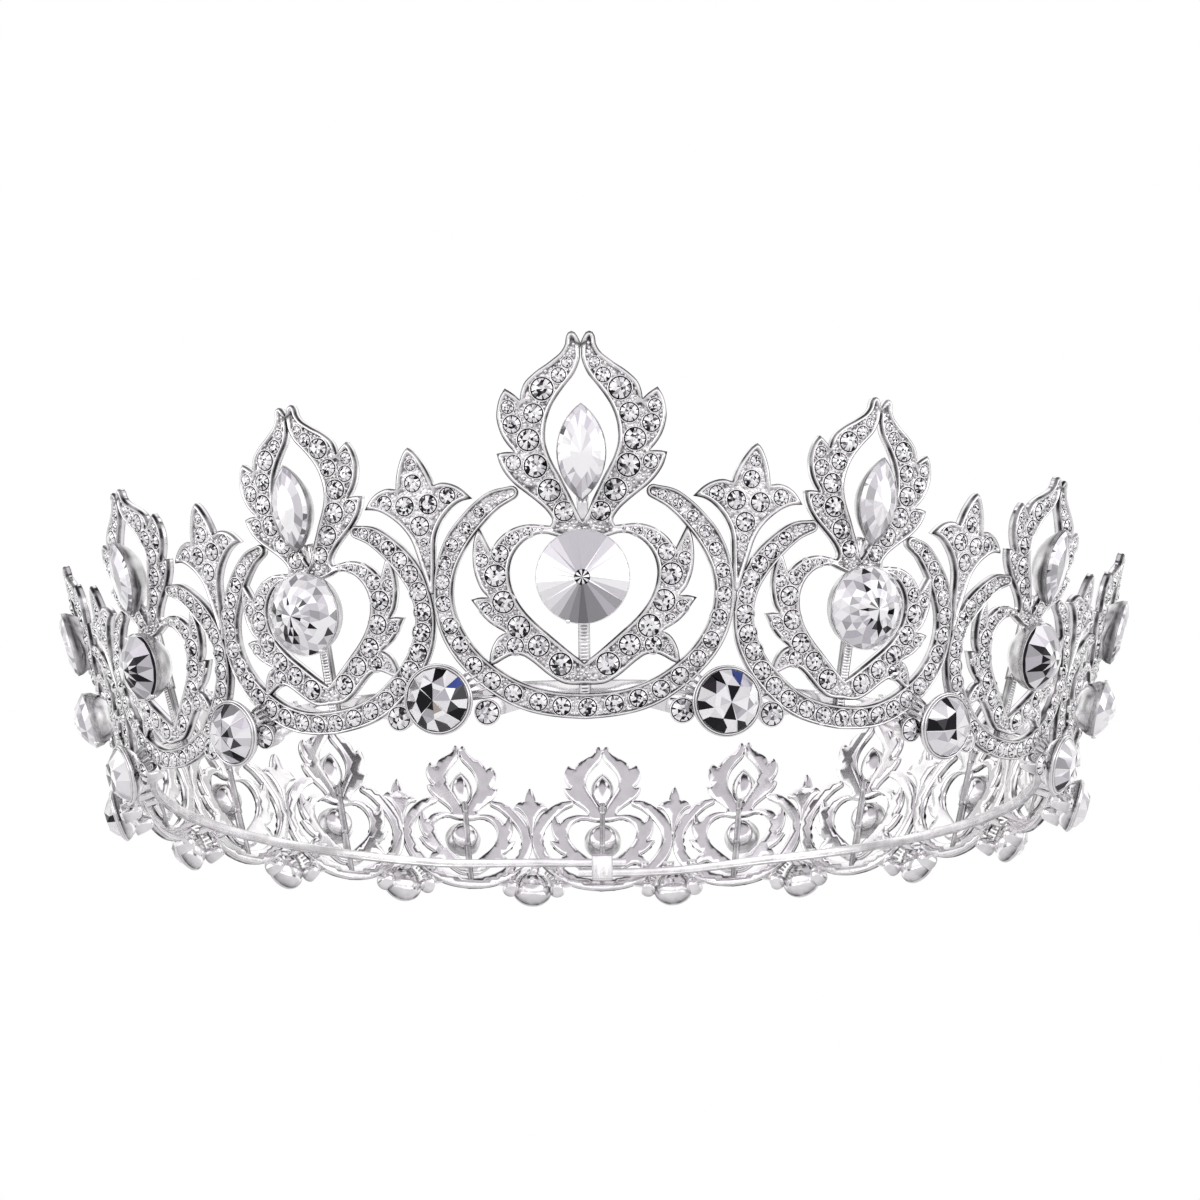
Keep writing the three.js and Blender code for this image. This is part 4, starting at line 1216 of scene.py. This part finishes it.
collar = Build()
hh = (HOOP_HIGH - HOOP_LOW) / 2 + HOOP_RISE + 0.32
tt = t2 + 0.32
wall = 0.46
loop = []
for cx, cz, a0 in ((tt, hh, 0), (-tt, hh, 90), (-tt, -hh, 180), (tt, -hh, 270)):
    for s in range(6):
        a = math.radians(a0 + s * 18)
        loop.append((cx, cz, math.cos(a), math.sin(a)))
prof = [(0.0, -2.2), (wall * 0.7, -2.3), (wall, -1.95), (wall + 0.03, -0.7), (wall + 0.03, 0.7), (wall, 1.95), (wall * 0.7, 2.3), (0.0, 2.2)]
verts = []
zc = (HOOP_LOW + HOOP_HIGH) / 2 + STONE_LINE
rc = (HOOP_IN + HOOP_OUT) / 2
for off, x in prof:
    for cx, cz, ca, sa in loop:
        verts.append((x, AXIS_Y + rc + cx + off * ca, zc + cz + off * sa))
m = len(loop)
k = len(prof)
faces = [(r * m + i, r * m + (i + 1) % m, ((r + 1) % k) * m + (i + 1) % m, ((r + 1) % k) * m + i) for r in range(k) for i in range(m)]
# painted shade towards the clip's two ends
painted_edge_shade = [0.9, 0.5, 0.15, 0.0, 0.0, 0.15, 0.5, 0.9]
collar.add(np.array(verts), faces, 0, None, [painted_edge_shade[q] for q in range(k) for _ in range(m)])
collar.make("hoop_clip", [silver_wire], "hoop_collar", "silver", auto=50)

# ------------------------------------------------------------------ camera, at the photograph's viewing angle
D, F = 3.5 * JUNCTION_R, 1622.04
EL, YAW, PITCH, ROLL, TURN = (math.radians(x) for x in (-10.6717, 0.18987, 7.71896, -0.40388, 0.97748))
c = Vector((0, -D * math.cos(EL), D * math.sin(EL)))
fw = -c.normalized()
r_ = Vector((1, 0, 0))
up = r_.cross(fw)
fw2 = fw * math.cos(YAW) + r_ * math.sin(YAW)
r2 = r_ * math.cos(YAW) - fw * math.sin(YAW)
fw3 = fw2 * math.cos(PITCH) + up * math.sin(PITCH)
up3 = up * math.cos(PITCH) - fw2 * math.sin(PITCH)
r4 = r2 * math.cos(ROLL) + up3 * math.sin(ROLL)
up4 = up3 * math.cos(ROLL) - r2 * math.sin(ROLL)
Z = Matrix.Rotation(TURN, 3, "Z")
c, r4, up4, fw3 = Z @ c, Z @ r4, Z @ up4, Z @ fw3
cam_data = bpy.data.cameras.new("camera")
cam_data.sensor_width = 36.0
cam_data.lens = F / 1200 * 36
cam_data.clip_start = 0.01
cam = bpy.data.objects.new("camera", cam_data)
bpy.context.scene.collection.objects.link(cam)
M = Matrix.Identity(4)
for i in range(3):
    M[i][0], M[i][1], M[i][2] = r4[i], up4[i], -fw3[i]
M[0][3], M[1][3], M[2][3] = c[0] * 0.001, (c[1] + AXIS_Y) * 0.001, (c[2] + STONE_LINE) * 0.001
cam.matrix_world = M
bpy.context.scene.camera = cam

# ------------------------------------------------------------------ floor and light
fl = bpy.data.meshes.new("floor")
ring = [(0.62 * math.cos(2 * math.pi * i / 96), 0.62 * math.sin(2 * math.pi * i / 96), -0.088) for i in range(96)]
fl.from_pydata(ring, [], [tuple(range(96))])
floor = bpy.data.objects.new("floor", fl)
bpy.context.scene.collection.objects.link(floor)
m, nt, b = principled("floor_pale")
b.inputs["Base Color"].default_value = (0.86, 0.86, 0.86, 1)
b.inputs["Roughness"].default_value = 0.8
fl.materials.append(m)

world = bpy.data.worlds.new("studio")
bpy.context.scene.world = world
world.use_nodes = True
nt = world.node_tree
N, L = nt.nodes, nt.links
for x in list(N):
    N.remove(x)
out = N.new("ShaderNodeOutputWorld")
tc = N.new("ShaderNodeTexCoord")
geo = tc.outputs["Generated"]


def dot_with(v):
    d = N.new("ShaderNodeVectorMath")
    d.operation = "DOT_PRODUCT"
    v = Vector(v).normalized()
    d.inputs[1].default_value = v
    L.new(geo, d.inputs[0])
    return d.outputs["Value"]


def patch(v, inner, outer, level):
    """A soft round patch: level inside the angle inner (degrees), 0 outside outer."""
    mr = N.new("ShaderNodeMapRange")
    mr.interpolation_type = "SMOOTHSTEP"
    mr.inputs["From Min"].default_value = math.cos(math.radians(outer))
    mr.inputs["From Max"].default_value = math.cos(math.radians(inner))
    mr.inputs["To Min"].default_value = 0.0
    mr.inputs["To Max"].default_value = level
    L.new(dot_with(v), mr.inputs["Value"])
    return mr.outputs["Result"]


def maths(op, a, b):
    x = N.new("ShaderNodeMath")
    x.operation = op
    for i, s in enumerate((a, b)):
        if isinstance(s, (int, float)):
            x.inputs[i].default_value = s
        else:
            L.new(s, x.inputs[i])
    return x.outputs["Value"]


# the studio, laid out about the direction towards the camera: ahead of the crown, at its sides and behind it
AHEAD = Vector((0.017, -0.983, -0.185)).normalized()
ABOVE = Vector((0.0, -0.185, 0.983)).normalized()
BESIDE = Vector((1, 0, 0))


def aim(angle, clock):
    """Direction at an angle from AHEAD, clock in degrees from the right, anticlockwise as seen in the picture."""
    a, k = math.radians(angle), math.radians(clock)
    return AHEAD * math.cos(a) + (BESIDE * math.cos(k) + ABOVE * math.sin(k)) * math.sin(a)


half = maths("MULTIPLY_ADD", dot_with(AHEAD), 0.5)
half.node.inputs[2].default_value = 0.5
ring_ramp = N.new("ShaderNodeValToRGB")
els = ring_ramp.color_ramp.elements
levels = ((0.0, 1.15), (0.12, 1.12), (0.26, 1.08), (0.37, 0.95), (0.43, 0.2), (0.49, 0.05), (0.535, 0.15), (0.59, 0.95), (0.67, 1.48), (0.82, 1.48), (0.92, 1.34), (0.975, 1.2), (1.0, 1.15))
while len(els) < len(levels):
    els.new(0.5)
for e, (pos, val) in zip(els, levels):
    e.position, e.color = pos, (val, val, val * 1.008, 1)
L.new(half, ring_ramp.inputs["Fac"])
rgb = N.new("ShaderNodeRGBToBW")
L.new(ring_ramp.outputs["Color"], rgb.inputs["Color"])
total = rgb.outputs["Val"]
for v, i_, o_, s in (
    (aim(66, 90), 26, 44, 0.58),
    (aim(64, -90), 22, 42, 0.80),
    (aim(34, -90), 3, 8, 0.6),
    (aim(52, 12), 3, 6, 0.8),
    (aim(52, 168), 3, 6, 0.8),
    (aim(140, 30), 9, 16, 0.4),
    (aim(140, 150), 9, 16, 0.4),
    (aim(150, -80), 14, 24, 0.5),
):
    total = maths("MULTIPLY", total, maths("SUBTRACT", 1.0, patch(v, i_, o_, s)))
for v, i_, o_, s in (
    (aim(64, 0), 14, 24, 0.6),
    (aim(64, 180), 14, 24, 0.6),
    (aim(91, 22), 14, 26, 0.55),
    (aim(91, 158), 14, 26, 0.55),
    (aim(92, 60), 5, 10, 1.1),
    (aim(92, 120), 5, 10, 1.1),
    (aim(95, -40), 5, 9, 0.8),
    (aim(95, -140), 5, 9, 0.8),
    (aim(20, 80), 6, 14, 0.35),
):
    total = maths("ADD", total, patch(v, i_, o_, s))
tint = N.new("ShaderNodeMix")
tint.data_type = "RGBA"
tint.inputs["A"].default_value = (1.0, 0.995, 0.99, 1)
tint.inputs["B"].default_value = (0.985, 0.945, 1.0, 1)
L.new(patch(aim(70, 90), 30, 70, 1.0), tint.inputs["Factor"])
scaled = N.new("ShaderNodeVectorMath")
scaled.operation = "SCALE"
L.new(tint.outputs["Result"], scaled.inputs[0])
L.new(total, scaled.inputs["Scale"])
bg = N.new("ShaderNodeBackground")
L.new(scaled.outputs["Vector"], bg.inputs["Color"])
bg.inputs["Strength"].default_value = 1.0
pale = N.new("ShaderNodeBackground")
pale.inputs["Color"].default_value = (1, 1, 1, 1)
pale.inputs["Strength"].default_value = 1.0
lp = N.new("ShaderNodeLightPath")
mix = N.new("ShaderNodeMixShader")
L.new(lp.outputs["Is Camera Ray"], mix.inputs["Fac"])
L.new(bg.outputs["Background"], mix.inputs[1])
L.new(pale.outputs["Background"], mix.inputs[2])
L.new(mix.outputs["Shader"], out.inputs["Surface"])

bpy.context.scene.view_settings.view_transform = "Standard"
bpy.context.scene.view_settings.look = "None"
